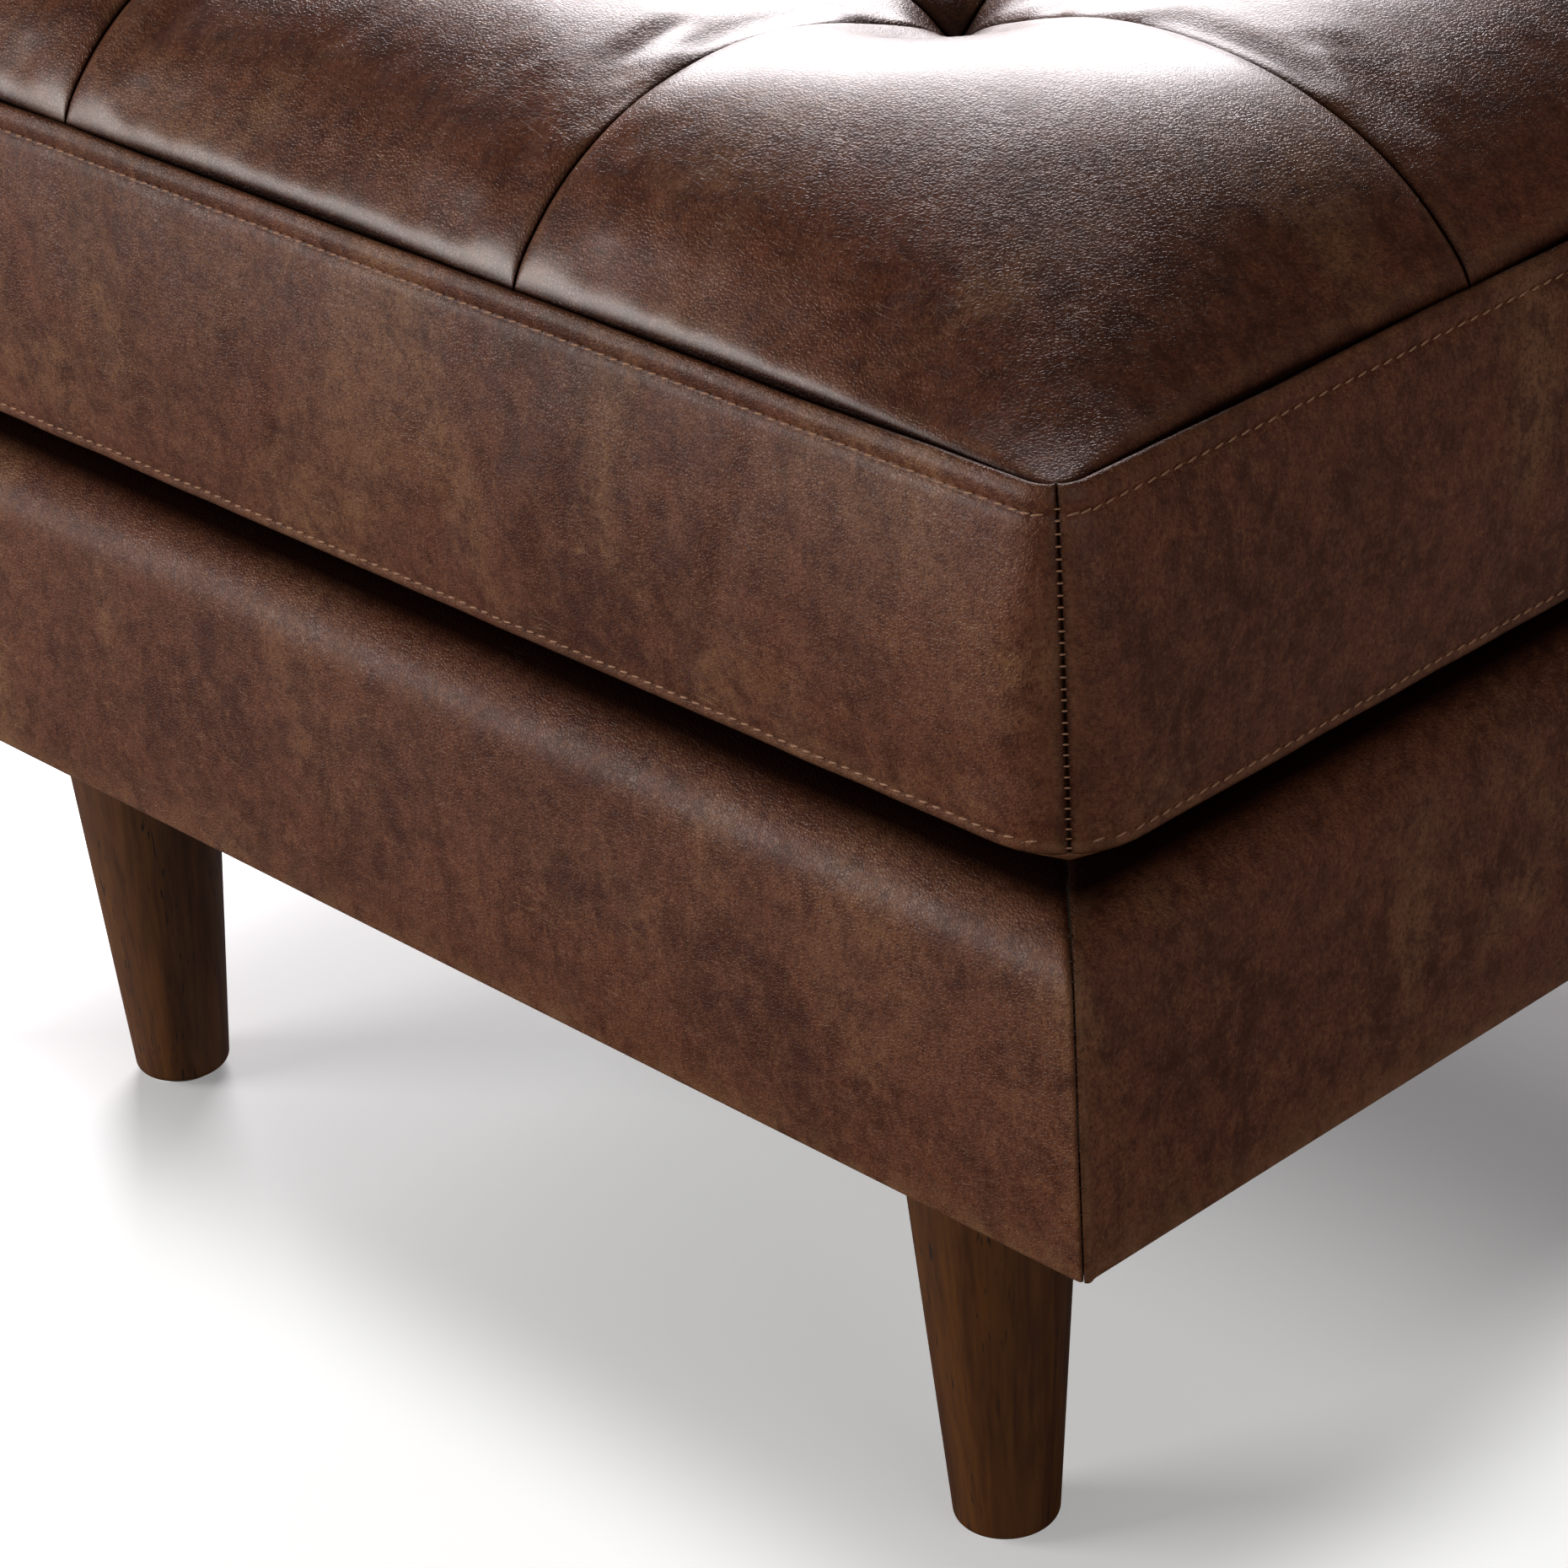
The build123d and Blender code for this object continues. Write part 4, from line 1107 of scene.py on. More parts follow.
    def drift(self, x: Grid, y: Grid) -> tuple[Grid, Grid]:
        """Moves the points of the top a little, as hand tufting does: seams lean at the rim, tufts wander.

        Args:
            x: places along x.
            y: places along y.

        Returns:
            The new places.
        """
        half_x, half_y = self.top.width / 2, self.top.depth / 2
        tuft_x, tuft_y = self.lines_x[2], self.lines_y[2]
        beyond_x = np.clip((np.abs(x) - tuft_x) / (half_x - tuft_x), 0, 1)
        beyond_y = np.clip((np.abs(y) - tuft_y) / (half_y - tuft_y), 0, 1)
        new_x = x + self.lean[0] * np.sign(y) * beyond_y**self.lean_power * (1 - beyond_x)
        new_y = y - self.lean[1] * np.sign(x) * beyond_x**self.lean_power * (1 - beyond_y)
        first, step = self.wander_turns
        for number, (spot_x, spot_y) in enumerate(self.tufts):
            turn = first + step * number
            near = self.wander * bell(np.hypot(x - spot_x, y - spot_y), self.wander_reach)
            new_x, new_y = new_x + math.cos(turn) * near, new_y + math.sin(turn) * near
        return new_x, new_y

    def details(self, x: Grid, y: Grid, edge: Grid) -> Grid:
        """Height of the creases, dimples and fine wrinkles.

        Args:
            x: places along x.
            y: places along y.
            edge: distance from the panel's edge.

        Returns:
            The heights to add.
        """
        on_rim = np.minimum(self.top.width / 2 - np.abs(x), self.top.depth / 2 - np.abs(y))
        inner = np.clip(on_rim / self.valley_width - self.valley_start, 0, 1)
        change = -self.crease_depth * fading(edge, self.crease_width)
        change = change - self.valley_depth * fading(edge, self.valley_width) * inner
        along, outside = self.pull_shares
        for tuft_x, tuft_y in self.tufts:
            away = np.hypot(x - tuft_x, y - tuft_y)
            angle = np.arctan2(y - tuft_y, x - tuft_x)
            change = change - self.dimple_depth * bell(away, self.dimple_width)
            change = change - self.hollow_depth * bell(away, self.hollow_width)
            outward = np.clip(np.cos(angle) * np.sign(tuft_x), 0, 1) * np.clip(np.sin(angle) * np.sign(tuft_y), 0, 1)
            pull = bell(away - self.pull_reach, self.pull_width)
            change = change - self.pull_depth * pull * (along * np.abs(np.sin(2 * angle)) + outside * outward)
            fade = fading(away, self.wrinkle_reach) * ramp(away, self.dimple_width)
            sway = self.wrinkle_sway * np.sin(2 * angle + self.wrinkle_shift * tuft_x)
            change = change + self.wrinkle_height * fade * np.sin(self.wrinkle_count * angle + sway)
        return change


@dataclass
class CushionForm:
    """The stuffed cushion as cloth: a closed form, held at its seams and blown up by its filling."""

    shape: CushionShape
    cell: float = 7.4 * MM
    side_rows: int = 14
    bulge: float = 4 * MM
    pressure: float = 4.0
    slack: float = 0.004
    quality: int = 6
    frames: int = 20
    most_move: float = 5 * MM
    calm_corner: float = 48 * MM

    def __post_init__(self) -> None:
        """Sets the grid and the resting places."""
        shape = self.shape
        per_x = round(shape.top.width / shape.columns / self.cell)
        per_y = round(shape.top.depth / shape.rows / self.cell)
        self.cells_x, self.cells_y = shape.columns * per_x, shape.rows * per_y
        panel_x, panel_y = np.arange(shape.columns + 1), np.arange(shape.rows + 1)
        self.x = np.interp(np.arange(self.cells_x + 1) / per_x, panel_x, shape.lines_x)
        self.y = np.interp(np.arange(self.cells_y + 1) / per_y, panel_y, shape.lines_y)
        self.flat_x, self.flat_y = np.meshgrid(self.x, self.y)
        height = np.zeros_like(self.flat_x)
        for column in range(shape.columns):
            for row in range(shape.rows):
                across = slice(column * per_x, (column + 1) * per_x + 1)
                up = slice(row * per_y, (row + 1) * per_y + 1)
                u, v = np.meshgrid(np.linspace(0, 1, per_x + 1), np.linspace(0, 1, per_y + 1))
                height[up, across] = shape.height(column, row, u, v)
        round_x, round_y = shape.rounded(self.flat_x, self.flat_y, shape.top)
        self.top = np.stack([round_x, round_y, shape.rim + height], -1)
        on_seam_x = np.arange(self.cells_x + 1) % per_x == 0
        on_seam_y = np.arange(self.cells_y + 1) % per_y == 0
        self.top_held = on_seam_x[None, :] | on_seam_y[:, None]

    def loop(self) -> list[tuple[int, int]]:
        """The points round the grid's edge: front, right, back, left.

        Returns:
            Row and column of each.
        """
        last_x, last_y = self.cells_x, self.cells_y
        front = [(0, i) for i in range(last_x)]
        right = [(j, last_x) for j in range(last_y)]
        back = [(last_y, last_x - i) for i in range(last_x)]
        left = [(last_y - j, 0) for j in range(last_y)]
        return front + right + back + left

    def rest_mesh(self) -> tuple[Grid, Faces, Grid]:
        """The closed form before it is blown up.

        Returns:
            Its points, its faces and which points are held.
        """
        shape, loop = self.shape, self.loop()
        rows, columns = self.top.shape[:2]
        edge = np.array([self.top[j, i] for j, i in loop])
        reach = [shape.top.width / 2 - shape.top.radius, shape.top.depth / 2 - shape.top.radius]
        outward = np.sign(edge[:, :2]) * np.clip(np.abs(edge[:, :2]) - reach, 0, None)
        outward = outward / np.linalg.norm(outward, axis=1, keepdims=True)
        floor_x, floor_y = shape.rounded(
            self.flat_x * shape.outline.width / shape.top.width,
            self.flat_y * shape.outline.depth / shape.top.depth,
            shape.outline,
        )
        floor = np.stack([floor_x, floor_y, np.full_like(floor_x, shape.boxing_bottom)], -1)
        foot = np.array([floor[j, i] for j, i in loop])
        rings, held = [], []
        for number in range(1, self.side_rows):
            share = number / self.side_rows
            ring = edge + (foot - edge) * share
            ring[:, :2] += outward * self.bulge * arch(share)
            rings.append(ring)
            held.append([j in (0, rows - 1) and i in (0, columns - 1) or number == 1 for j, i in loop])
        points = np.concatenate([self.top.reshape(-1, 3), *rings, floor.reshape(-1, 3)])
        fixed = np.concatenate([self.top_held.ravel(), np.array(held).ravel(), np.ones(rows * columns, bool)])
        start, count = rows * columns, len(loop)
        floor_start = start + (self.side_rows - 1) * count
        faces = grid_faces(rows, columns)
        faces += [face[::-1] for face in grid_faces(rows, columns, first=floor_start)]
        top_ring = [j * columns + i for j, i in loop]
        between = [list(range(start + k * count, start + (k + 1) * count)) for k in range(self.side_rows - 1)]
        ladders = [top_ring, *between, [floor_start + n for n in top_ring]]
        for upper, lower in zip(ladders, ladders[1:]):
            for n in range(count):
                m = (n + 1) % count
                faces.append((upper[n], lower[n], lower[m], upper[m]))
        return points, faces, fixed

    def blow_up(self) -> tuple[Grid, Grid]:
        """Runs the cloth and reads how far each point moved, within the cap.

        Returns:
            The moves of the top grid, and those of the side rings.
        """
        rows, columns = self.top.shape[:2]
        count = len(self.loop())
        points, faces, fixed = self.rest_mesh()
        cover = make_mesh("cushion_cloth", points, faces)
        pins = cover.vertex_groups.new(name="seams")
        pins.add([int(n) for n in np.flatnonzero(fixed)], 1.0, "REPLACE")
        cloth = cover.modifiers.new("cloth", "CLOTH")
        cloth.settings.use_pressure = True
        cloth.settings.uniform_pressure_force = self.pressure
        cloth.settings.effector_weights.gravity = 0
        cloth.settings.vertex_group_mass = "seams"
        cloth.settings.quality = self.quality
        cloth.settings.shrink_min = -self.slack
        scene = bpy.context.scene
        for number in range(1, self.frames + 1):
            scene.frame_set(number)
        seen = cover.evaluated_get(bpy.context.evaluated_depsgraph_get())
        ended = np.empty(len(points) * 3, np.float32)
        seen.to_mesh().vertices.foreach_get("co", ended)
        moves = ended.reshape(-1, 3) - points
        scene.frame_set(1)
        bpy.data.objects.remove(cover)
        reach = np.linalg.norm(moves, axis=1, keepdims=True)
        log.info("cloth moved %.1f mm at most", 1000 * reach.max())
        moves = moves * (self.most_move * np.tanh(reach / self.most_move) / np.maximum(reach, 1e-9))
        top = moves[: rows * columns].reshape(rows, columns, 3)
        to_corner = np.hypot(np.abs(self.flat_x) - self.x[-1], np.abs(self.flat_y) - self.y[-1])
        top = top * (1 - bell(to_corner, self.calm_corner))[..., None]
        rings = moves[rows * columns : rows * columns + (self.side_rows - 1) * count].reshape(-1, count, 3)
        still = np.zeros((1, count, 3))
        return top, np.concatenate([still, rings, still])


@dataclass
class Cushion:
    """The loose cushion: nine biscuits, four strips of boxing, the underside, filling, threads and zip."""

    wardrobe: Wardrobe
    shape: CushionShape = field(default_factory=CushionShape)
    body: str = "cushion"
    step: float = 4.2 * MM
    leather: float = 1.8 * MM
    edge_steps: tuple[float, ...] = (0.4 * MM, 0.9 * MM, 1.6 * MM, 2.6 * MM, 4.2 * MM, 7 * MM)
    bulge: float = 4.2 * MM
    band: float = 8 * MM
    foot_band: float = 2.6 * MM
    foot_drop: float = 3.2 * MM
    foot_tuck: float = 4.5 * MM
    slope: float = 42 * MM
    slope_power: float = 1.5
    dip: float = 0.7 * MM
    row_names: tuple[str, ...] = ("front", "middle", "back")
    column_names: tuple[str, ...] = ("left", "centre", "right")
    crumple: Waviness = Waviness(0.5 * MM, 22.0, 3.0)
    crumple_margin: float = 12 * MM
    # width of the painted shade along the biscuits' seams
    seam_shade_width: float = 0.7 * MM
    seam_wear: Triple = (0.4, 2.4 * MM, 1.4 * MM)
    above_foot: tuple[float, ...] = (0, 0.9, 2.2, 4.5, 8)
    below_ridge: tuple[float, ...] = (20, 16, 12.5, 10, 8.8, 8, 7.2, 6, 4, 2, 0.7, 0)
    wall_rows: int = 20
    tuck_rows: int = 9
    bulge_power: float = 0.7
    dip_width: float = 1.1 * MM
    pucker_width: float = 1.6 * MM
    band_swell: Span = (0.3 * MM, 3 * MM)
    ridge_round: Span = (1.6 * MM, 1.6 * MM)
    ridge_wear: Triple = (0.25, 0.5 * MM, 1.6 * MM)
    foot_wear: Span = (0.5, 3 * MM)
    tuck_wear: float = 0.4
    tuck_dip: tuple[float, int] = (0.5, 8)
    tuck_pucker: tuple[float, int] = (0.5, 6)
    tuck_gap: float = 1.5 * MM
    # how the painted shade on the foot's tuck fades as it turns up and out to the lower seam
    tuck_shade_fade: Span = (1.2, 0.95)
    # Rows where the ridge turns into the top seam: outward offset and height in mm, wear, and painted shade.
    ridge_turn: tuple[tuple[float, float, float, float], ...] = (
        (-2.6, 0.35, 0.3, 0.0),
        (-3.5, 0.1, 0.1, 0.0),
        (-4.3, -0.7, 0.0, 0.4),
        (-4.8, -2.2, 0.0, 1.0),
        (-5.0, -5.0, 0.0, 1.0),
    )
    strip_gap: float = 0.2 * MM
    folds: Waviness = Waviness(0.9 * MM, 24.0, 7.0, (1.0, 1.0, 0.25))
    waves: Waviness = Waviness(0.5 * MM, 38.0, 11.0, (1.0, 1.0, 0.0))
    ridge_waves: Waviness = Waviness(0.6 * MM, 17.0, 5.0, (1.0, 1.0, 0.0))
    corner_seam: Span = (1.3 * MM, 1.5 * MM)
    corner_round: Span = (0.5 * MM, 9 * MM)
    corner_wear: Triple = (0.35, 2.5 * MM, 1.5 * MM)
    # width of the painted shade along the corner seams
    corner_shade_width: float = 1.0 * MM
    corner_sink: float = 0.5 * MM
    slot_clear: Span = (5 * MM, 1.5 * MM)
    under_step: float = 11 * MM
    under_steps: tuple[float, ...] = (2, 5, 9, 14, 20, 27, 35, 43)
    under_gap: float = 0.4 * MM
    under_wear: Span = (0.5, 4 * MM)
    foam_clear: float = 2.7 * MM
    foam_gap: float = 0.5 * MM
    foam_lift: float = 3 * MM
    foam_insets: tuple[float, ...] = (45, 36, 27, 19, 12, 6, 2.5)
    foam_rows: int = 9
    foam_bulge: float = 0.8
    foam_step: float = 12 * MM

    def __post_init__(self) -> None:
        """Blows the form up once for all pieces."""
        self.form = CushionForm(self.shape)
        self.top_moves, self.side_moves = self.form.blow_up()

    def build(self) -> None:
        """Builds every piece of the cushion."""
        for column in range(self.shape.columns):
            for row in range(self.shape.rows):
                self.biscuit(column, row)
        for side in Side:
            self.boxing(side)
        self.underside()
        self.foam()

    def biscuit(self, column: int, row: int) -> None:
        """One stuffed square of the top, closed, with its edges turned down into the seams.

        Args:
            column: its column from the left.
            row: its row from the front.
        """
        shape = self.shape
        west, east = shape.lines_x[column : column + 2]
        south, north = shape.lines_y[row : row + 2]
        width, depth = east - west - shape.seam_gap, north - south - shape.seam_gap
        along, up = graded(width, self.step, self.edge_steps), graded(depth, self.step, self.edge_steps)
        u, v = np.meshgrid(along / width, up / depth)
        x = (west + east) / 2 + (u - 0.5) * width
        y = (south + north) / 2 + (v - 0.5) * depth
        edge = edge_distance(u, v, width, depth)
        height = shape.height(column, row, u, v) + shape.details(x, y, edge)
        round_x, round_y = shape.rounded(*shape.drift(x, y), shape.top)
        top = np.stack([round_x, round_y, shape.rim + height], -1)
        form = self.form
        across = spline_weights(np.interp(x[0], form.x, np.arange(form.cells_x + 1)), form.cells_x + 1)
        upward = spline_weights(np.interp(y[:, 0], form.y, np.arange(form.cells_y + 1)), form.cells_y + 1)
        top = top + np.einsum("ja,abk,ib->jik", upward, self.top_moves, across)
        top[..., 2] += self.crumple.at(top) * ramp(edge, self.crumple_margin)
        rows, columns = top.shape[:2]
        loop = (
            [(0, i) for i in range(columns - 1)] + [(j, columns - 1) for j in range(rows - 1)]
            + [(rows - 1, i) for i in range(columns - 1, 0, -1)] + [(j, 0) for j in range(rows - 1, 0, -1)]
        )
        rim = [j * columns + i for j, i in loop]
        flat = top.reshape(-1, 3)
        skirt = flat[rim] * [1, 1, 0] + [0, 0, shape.block_base]
        start, count = rows * columns, len(rim)
        faces = grid_faces(rows, columns)
        faces += [(rim[n], start + n, start + (n + 1) % count, rim[(n + 1) % count]) for n in range(count)]
        faces.append(tuple(range(start + count - 1, start - 1, -1)))
        most, place, width = self.seam_wear
        worn = most * bell(edge - place, width)
        pad = np.zeros(count)
        name = f"{self.row_names[row]}_{self.column_names[column]}"
        # Painted shade: the biscuit darkens towards its seams, and the skirt turned down into them is fully dark.
        piece = make_mesh(f"biscuit_{name}", np.concatenate([flat, skirt]), faces, {
            "wear": np.concatenate([worn.ravel(), pad]),
            "painted_shade": np.concatenate([fading(edge, self.seam_shade_width).ravel(), pad + 1]),
        })
        smooth_below(piece, 50)
        self.wardrobe.attach(
            piece, self.body, Finish.CUSHION_LEATHER, [f"top_panel_{name}", "biscuit_pads"], POLISHED
        )

    def boxing_profile(self) -> tuple[Grid, Grid, Grid, Grid, Grid]:
        """Section of the boxing from its lower seam over the ridge to the top seam.

        Returns:
            Outward offset, height, pucker, wear and crease of each point.
        """
        tall = self.shape.tall
        far = [tall - d * MM for d in self.below_ridge]
        near = [self.foot_band + d * MM for d in self.above_foot]
        heights = np.array([*near, *np.linspace(near[-1], far[0], self.wall_rows)[1:-1], *far])
        middle = ramp(heights - self.foot_band, tall - self.band - self.foot_band)
        to_stitch = np.minimum(np.abs(heights - self.foot_band), np.abs(heights - tall + self.band))
        to_end = tall - heights
        offset = self.bulge * arch(middle) ** self.bulge_power - self.dip * bell(to_stitch, self.dip_width)
        offset += self.band_swell[0] * bell(to_end - self.band / 2, self.band_swell[1])
        offset -= self.ridge_round[0] * bell(to_end, self.ridge_round[1])
        pucker = bell(to_stitch, self.pucker_width)
        most, place, width = self.ridge_wear
        wear = most * bell(to_end - place, width) + self.foot_wear[0] * bell(heights, self.foot_wear[1])
        over = np.array(self.ridge_turn)
        none = np.zeros(len(over))
        turn = np.linspace(0, math.pi / 2, self.tuck_rows)[:-1]
        tuck = -self.foot_tuck * (1 - np.sin(turn))
        tuck -= self.tuck_dip[0] * self.dip * np.sin(turn) ** self.tuck_dip[1]
        rise = self.foot_band - (self.foot_band + self.foot_drop) * np.cos(turn)
        # Painted shade on the foot's tuck under the cushion, darkest deepest in.
        tuck_shade = np.clip(self.tuck_shade_fade[0] - turn / self.tuck_shade_fade[1], 0, 1)
        return (
            np.concatenate([[-self.foot_tuck - self.tuck_gap], tuck, offset, over[:, 0] * MM]),
            np.concatenate([[0.0], rise, heights, tall + over[:, 1] * MM]),
            np.concatenate([[0.0], self.tuck_pucker[0] * np.sin(turn) ** self.tuck_pucker[1], pucker, none]),
            np.concatenate([[0.0], self.tuck_wear * np.sin(turn), wear, over[:, 2]]),
            np.concatenate([[1.0], tuck_shade, np.zeros(len(heights)), over[:, 3]]),
        )

    def boxing(self, side: Side) -> None:
        """One strip of the boxing, bulged, with its stitched bands and rounded ridge.

        Args:
            side: the strip's side.
        """
        shape = self.shape
        offset, heights, pucker, wear, painted_shade = self.boxing_profile()
        tall = shape.tall
        inside = np.clip(heights / tall, 0, 1)
        middle = shape.level_outline(0.5)
        half = middle.half_run(side)
        run = graded(2 * half - self.strip_gap, self.step, self.edge_steps[1:5])
        run = run - run[-1] / 2
        shares = run / half
        straight = middle.straight_share(side)
        strips = [shape.level_outline(share).strip(side, shares, straight, out) for share, out in zip(inside, offset)]
        points, normal = np.array([place for place, _ in strips]), strips[0][1]
        points[..., 2] = shape.boxing_bottom + heights[:, None]
        form = self.form
        down = spline_weights((1 - inside) * form.side_rows, form.side_rows + 1)
        lengths = [form.cells_x if edge.along_x else form.cells_y for edge in Side]
        number = list(Side).index(side)
        cells, first = lengths[number], sum(lengths[:number])
        samples = [(first + n) % sum(lengths) for n in range(cells + 1)]
        reach = middle.halves(side)[0]
        bent = np.clip((np.abs(shares) - straight) / (1 - straight), 0, 1) * EIGHTH_TURN
        flat = np.minimum(np.abs(shares) / straight, 1) * (reach - middle.radius)
        flat = np.sign(shares) * (flat + middle.radius * math.sqrt(2) * np.sin(bent))
        places = form.x if side.along_x else form.y
        across = spline_weights(np.interp(flat * places[-1] / reach, places, np.arange(cells + 1)), cells + 1)
        moves = np.einsum("ra,abk,cb->rck", down, self.side_moves[:, samples], across)
        wall = arch(inside)[:, None]
        points = points + moves * wall[..., None]
        end = np.minimum(run + half, half - run)[None, :]
        seam = self.corner_seam[0] * fading(end, self.corner_seam[1])
        seam = seam + self.corner_round[0] * bell(end, self.corner_round[1]) * wall
        uneven = self.folds.at(points) * wall + self.waves.at(points) * (1 - wall)
        points += normal[None] * (uneven - seam)[..., None]
        points[..., 2] += self.ridge_waves.at(points) * ramp(heights - tall + self.band, self.band)[:, None]
        size = points.shape[:2]
        most, place, width = self.corner_wear
        # Painted shade along the corner seams, joined to that of the profile.
        values = {
            "wear": np.broadcast_to(wear[:, None], size) + most * bell(end - place, width),
            "pucker": np.broadcast_to(pucker[:, None], size),
            "seam_run": np.broadcast_to(run[None, :], size) + 1.0,
            "painted_shade": np.maximum(painted_shade[:, None], fading(end, self.corner_shade_width)),
        }
        faces = grid_faces(*size)
        if side is Side.BACK:
            points, faces = self.zip_slot(points, faces, size)
        piece = make_mesh(f"boxing_cover_{side.label}", points, faces, values)
        thicken(piece, self.leather)
        self.wardrobe.attach(piece, self.body, Finish.CUSHION_LEATHER, [f"boxing_{side.label}"])
        self.stitches(side, points, normal, heights, offset, run)

    def zip_slot(self, points: Grid, faces: Faces, size: tuple[int, int]) -> tuple[Grid, Faces]:
        """Opens the slot of the zip in a strip and draws its edges straight.

        Args:
            points: the strip's points.
            faces: its faces.
            size: its rows and columns.

        Returns:
            The points and the faces that are left.
        """
        low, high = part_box("zip_tapes")
        slider_low, slider_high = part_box("zip_slider")
        beside, above = self.slot_clear
        level, half_slot = (low.z + high.z) / 2, (slider_high.z - slider_low.z) / 2 + above
        reach = (high.x - low.x) / 2 + beside
        z = points[:, size[1] // 2, 2]
        rows = [int(np.argmin(np.abs(z - level - way * half_slot))) for way in (-1, 1)]
        for row, way in zip(rows, (-1, 1)):
            points[row, :, 2] = level + way * half_slot
        inside = (np.abs(points[..., 0]) < reach).ravel()
        kept = [face for face in faces if not (rows[0] <= face[0] // size[1] < rows[1] and inside[list(face)].all())]
        return points, kept

    def stitches(self, side: Side, points: Grid, normal: Grid, heights: Grid, offsets: Grid, run: Grid) -> None:
        """Rows of slanted stitches along both bands of one strip, and those that cross its corner seam.

        Args:
            side: the strip's side.
            points: the strip's points.
            normal: its outward directions along a row.
            heights: its heights above the lower seam.
            offsets: how far each row lies outside the outline.
            run: its places along the seam.
        """
        shape = self.shape
        rows = Stitching()
        for number, height in enumerate((self.foot_band, shape.tall - self.band)):
            row = int(np.argmin(np.abs(heights - height)))
            rows.along(points[row], normal, run, seed=side.value + number)
        self.wardrobe.attach(rows.make(f"topstitch_{side.label}"), self.body, Finish.CUSHION_LEATHER, look=THREAD)
        seam = Stitching(pitch=3.7 * MM, length=2.0 * MM, thick=0.75 * MM, slant=0, lift=-0.1 * MM, crossing=True)
        straight = shape.level_outline(0.5).straight_share(side)
        corner = np.array([
            shape.level_outline(height / shape.tall).strip(side, np.ones(1), straight, out)[0][0]
            + [0, 0, shape.boxing_bottom + height]
            for out, height in zip(offsets, heights)
        ])
        rising = (np.diff(heights, append=heights[-1]) > 0) & (heights < shape.tall - 1 * MM)
        line = corner[rising] - normal[-1] * self.corner_sink
        seam.along(line, np.broadcast_to(normal[-1], line.shape), heights[rising], seed=side.value + 5)
        self.wardrobe.attach(seam.make(f"corner_stitch_{side.label}"), self.body, Finish.CUSHION_LEATHER, look=THREAD)

    def underside(self) -> None:
        """The plain leather panel under the cushion: flat where it rests, curved up to the lower seam."""
        shape = self.shape
        inner = shape.level_outline(0.0, -self.foot_tuck + self.under_gap)
        steps = [d * MM for d in self.under_steps]
        along, up = (graded(length, self.under_step, steps) for length in (inner.width, inner.depth))
        flat_x, flat_y = np.meshgrid(along - inner.width / 2, up - inner.depth / 2)
        round_x, round_y = shape.rounded(flat_x, flat_y, inner)
        edge = np.minimum(inner.width / 2 - np.abs(flat_x), inner.depth / 2 - np.abs(flat_y))
        points = np.stack([round_x, round_y, self.underside_level(edge) + self.leather], -1)
        wear = self.under_wear[0] * fading(edge, self.under_wear[1])
        piece = make_mesh("cushion_underside", points, grid_faces(len(up), len(along)), {"wear": wear})
        thicken(piece, self.leather)
        self.wardrobe.attach(piece, self.body, Finish.CUSHION_LEATHER, ["cushion_bottom_panel"])

    def underside_level(self, edge: Grid) -> Grid:
        """Height of the underside's lower face at a distance from its rim."""
        rim = self.shape.boxing_bottom - self.foot_drop
        return self.shape.bottom + (rim - self.shape.bottom) * np.clip(1 - edge / self.slope, 0, 1) ** self.slope_power

    def foam(self) -> None:
        """The foam inside the leather, swollen a little at its sides and crowned below."""
        shape = self.shape
        start, end = shape.boxing_bottom + self.foam_lift, shape.block_base - self.foam_gap
        levels = []
        for edge in np.array(self.foam_insets) * MM:
            level = self.underside_level(edge) + self.leather + self.foam_gap
            levels.append((shape.level_outline(0.0, -self.foot_tuck - edge), float(level)))
        for share in np.linspace(0, 1, self.foam_rows):
            grow = self.bulge * float(arch(share)) * self.foam_bulge - self.leather - self.foam_clear
            levels.append((shape.level_outline(share, grow), start + share * (end - start)))
        piece = ring_piece("cushion_foam", levels, self.foam_step, caps=True)
        self.wardrobe.attach(piece, self.body, Finish.FOAM, ["cushion_core"])


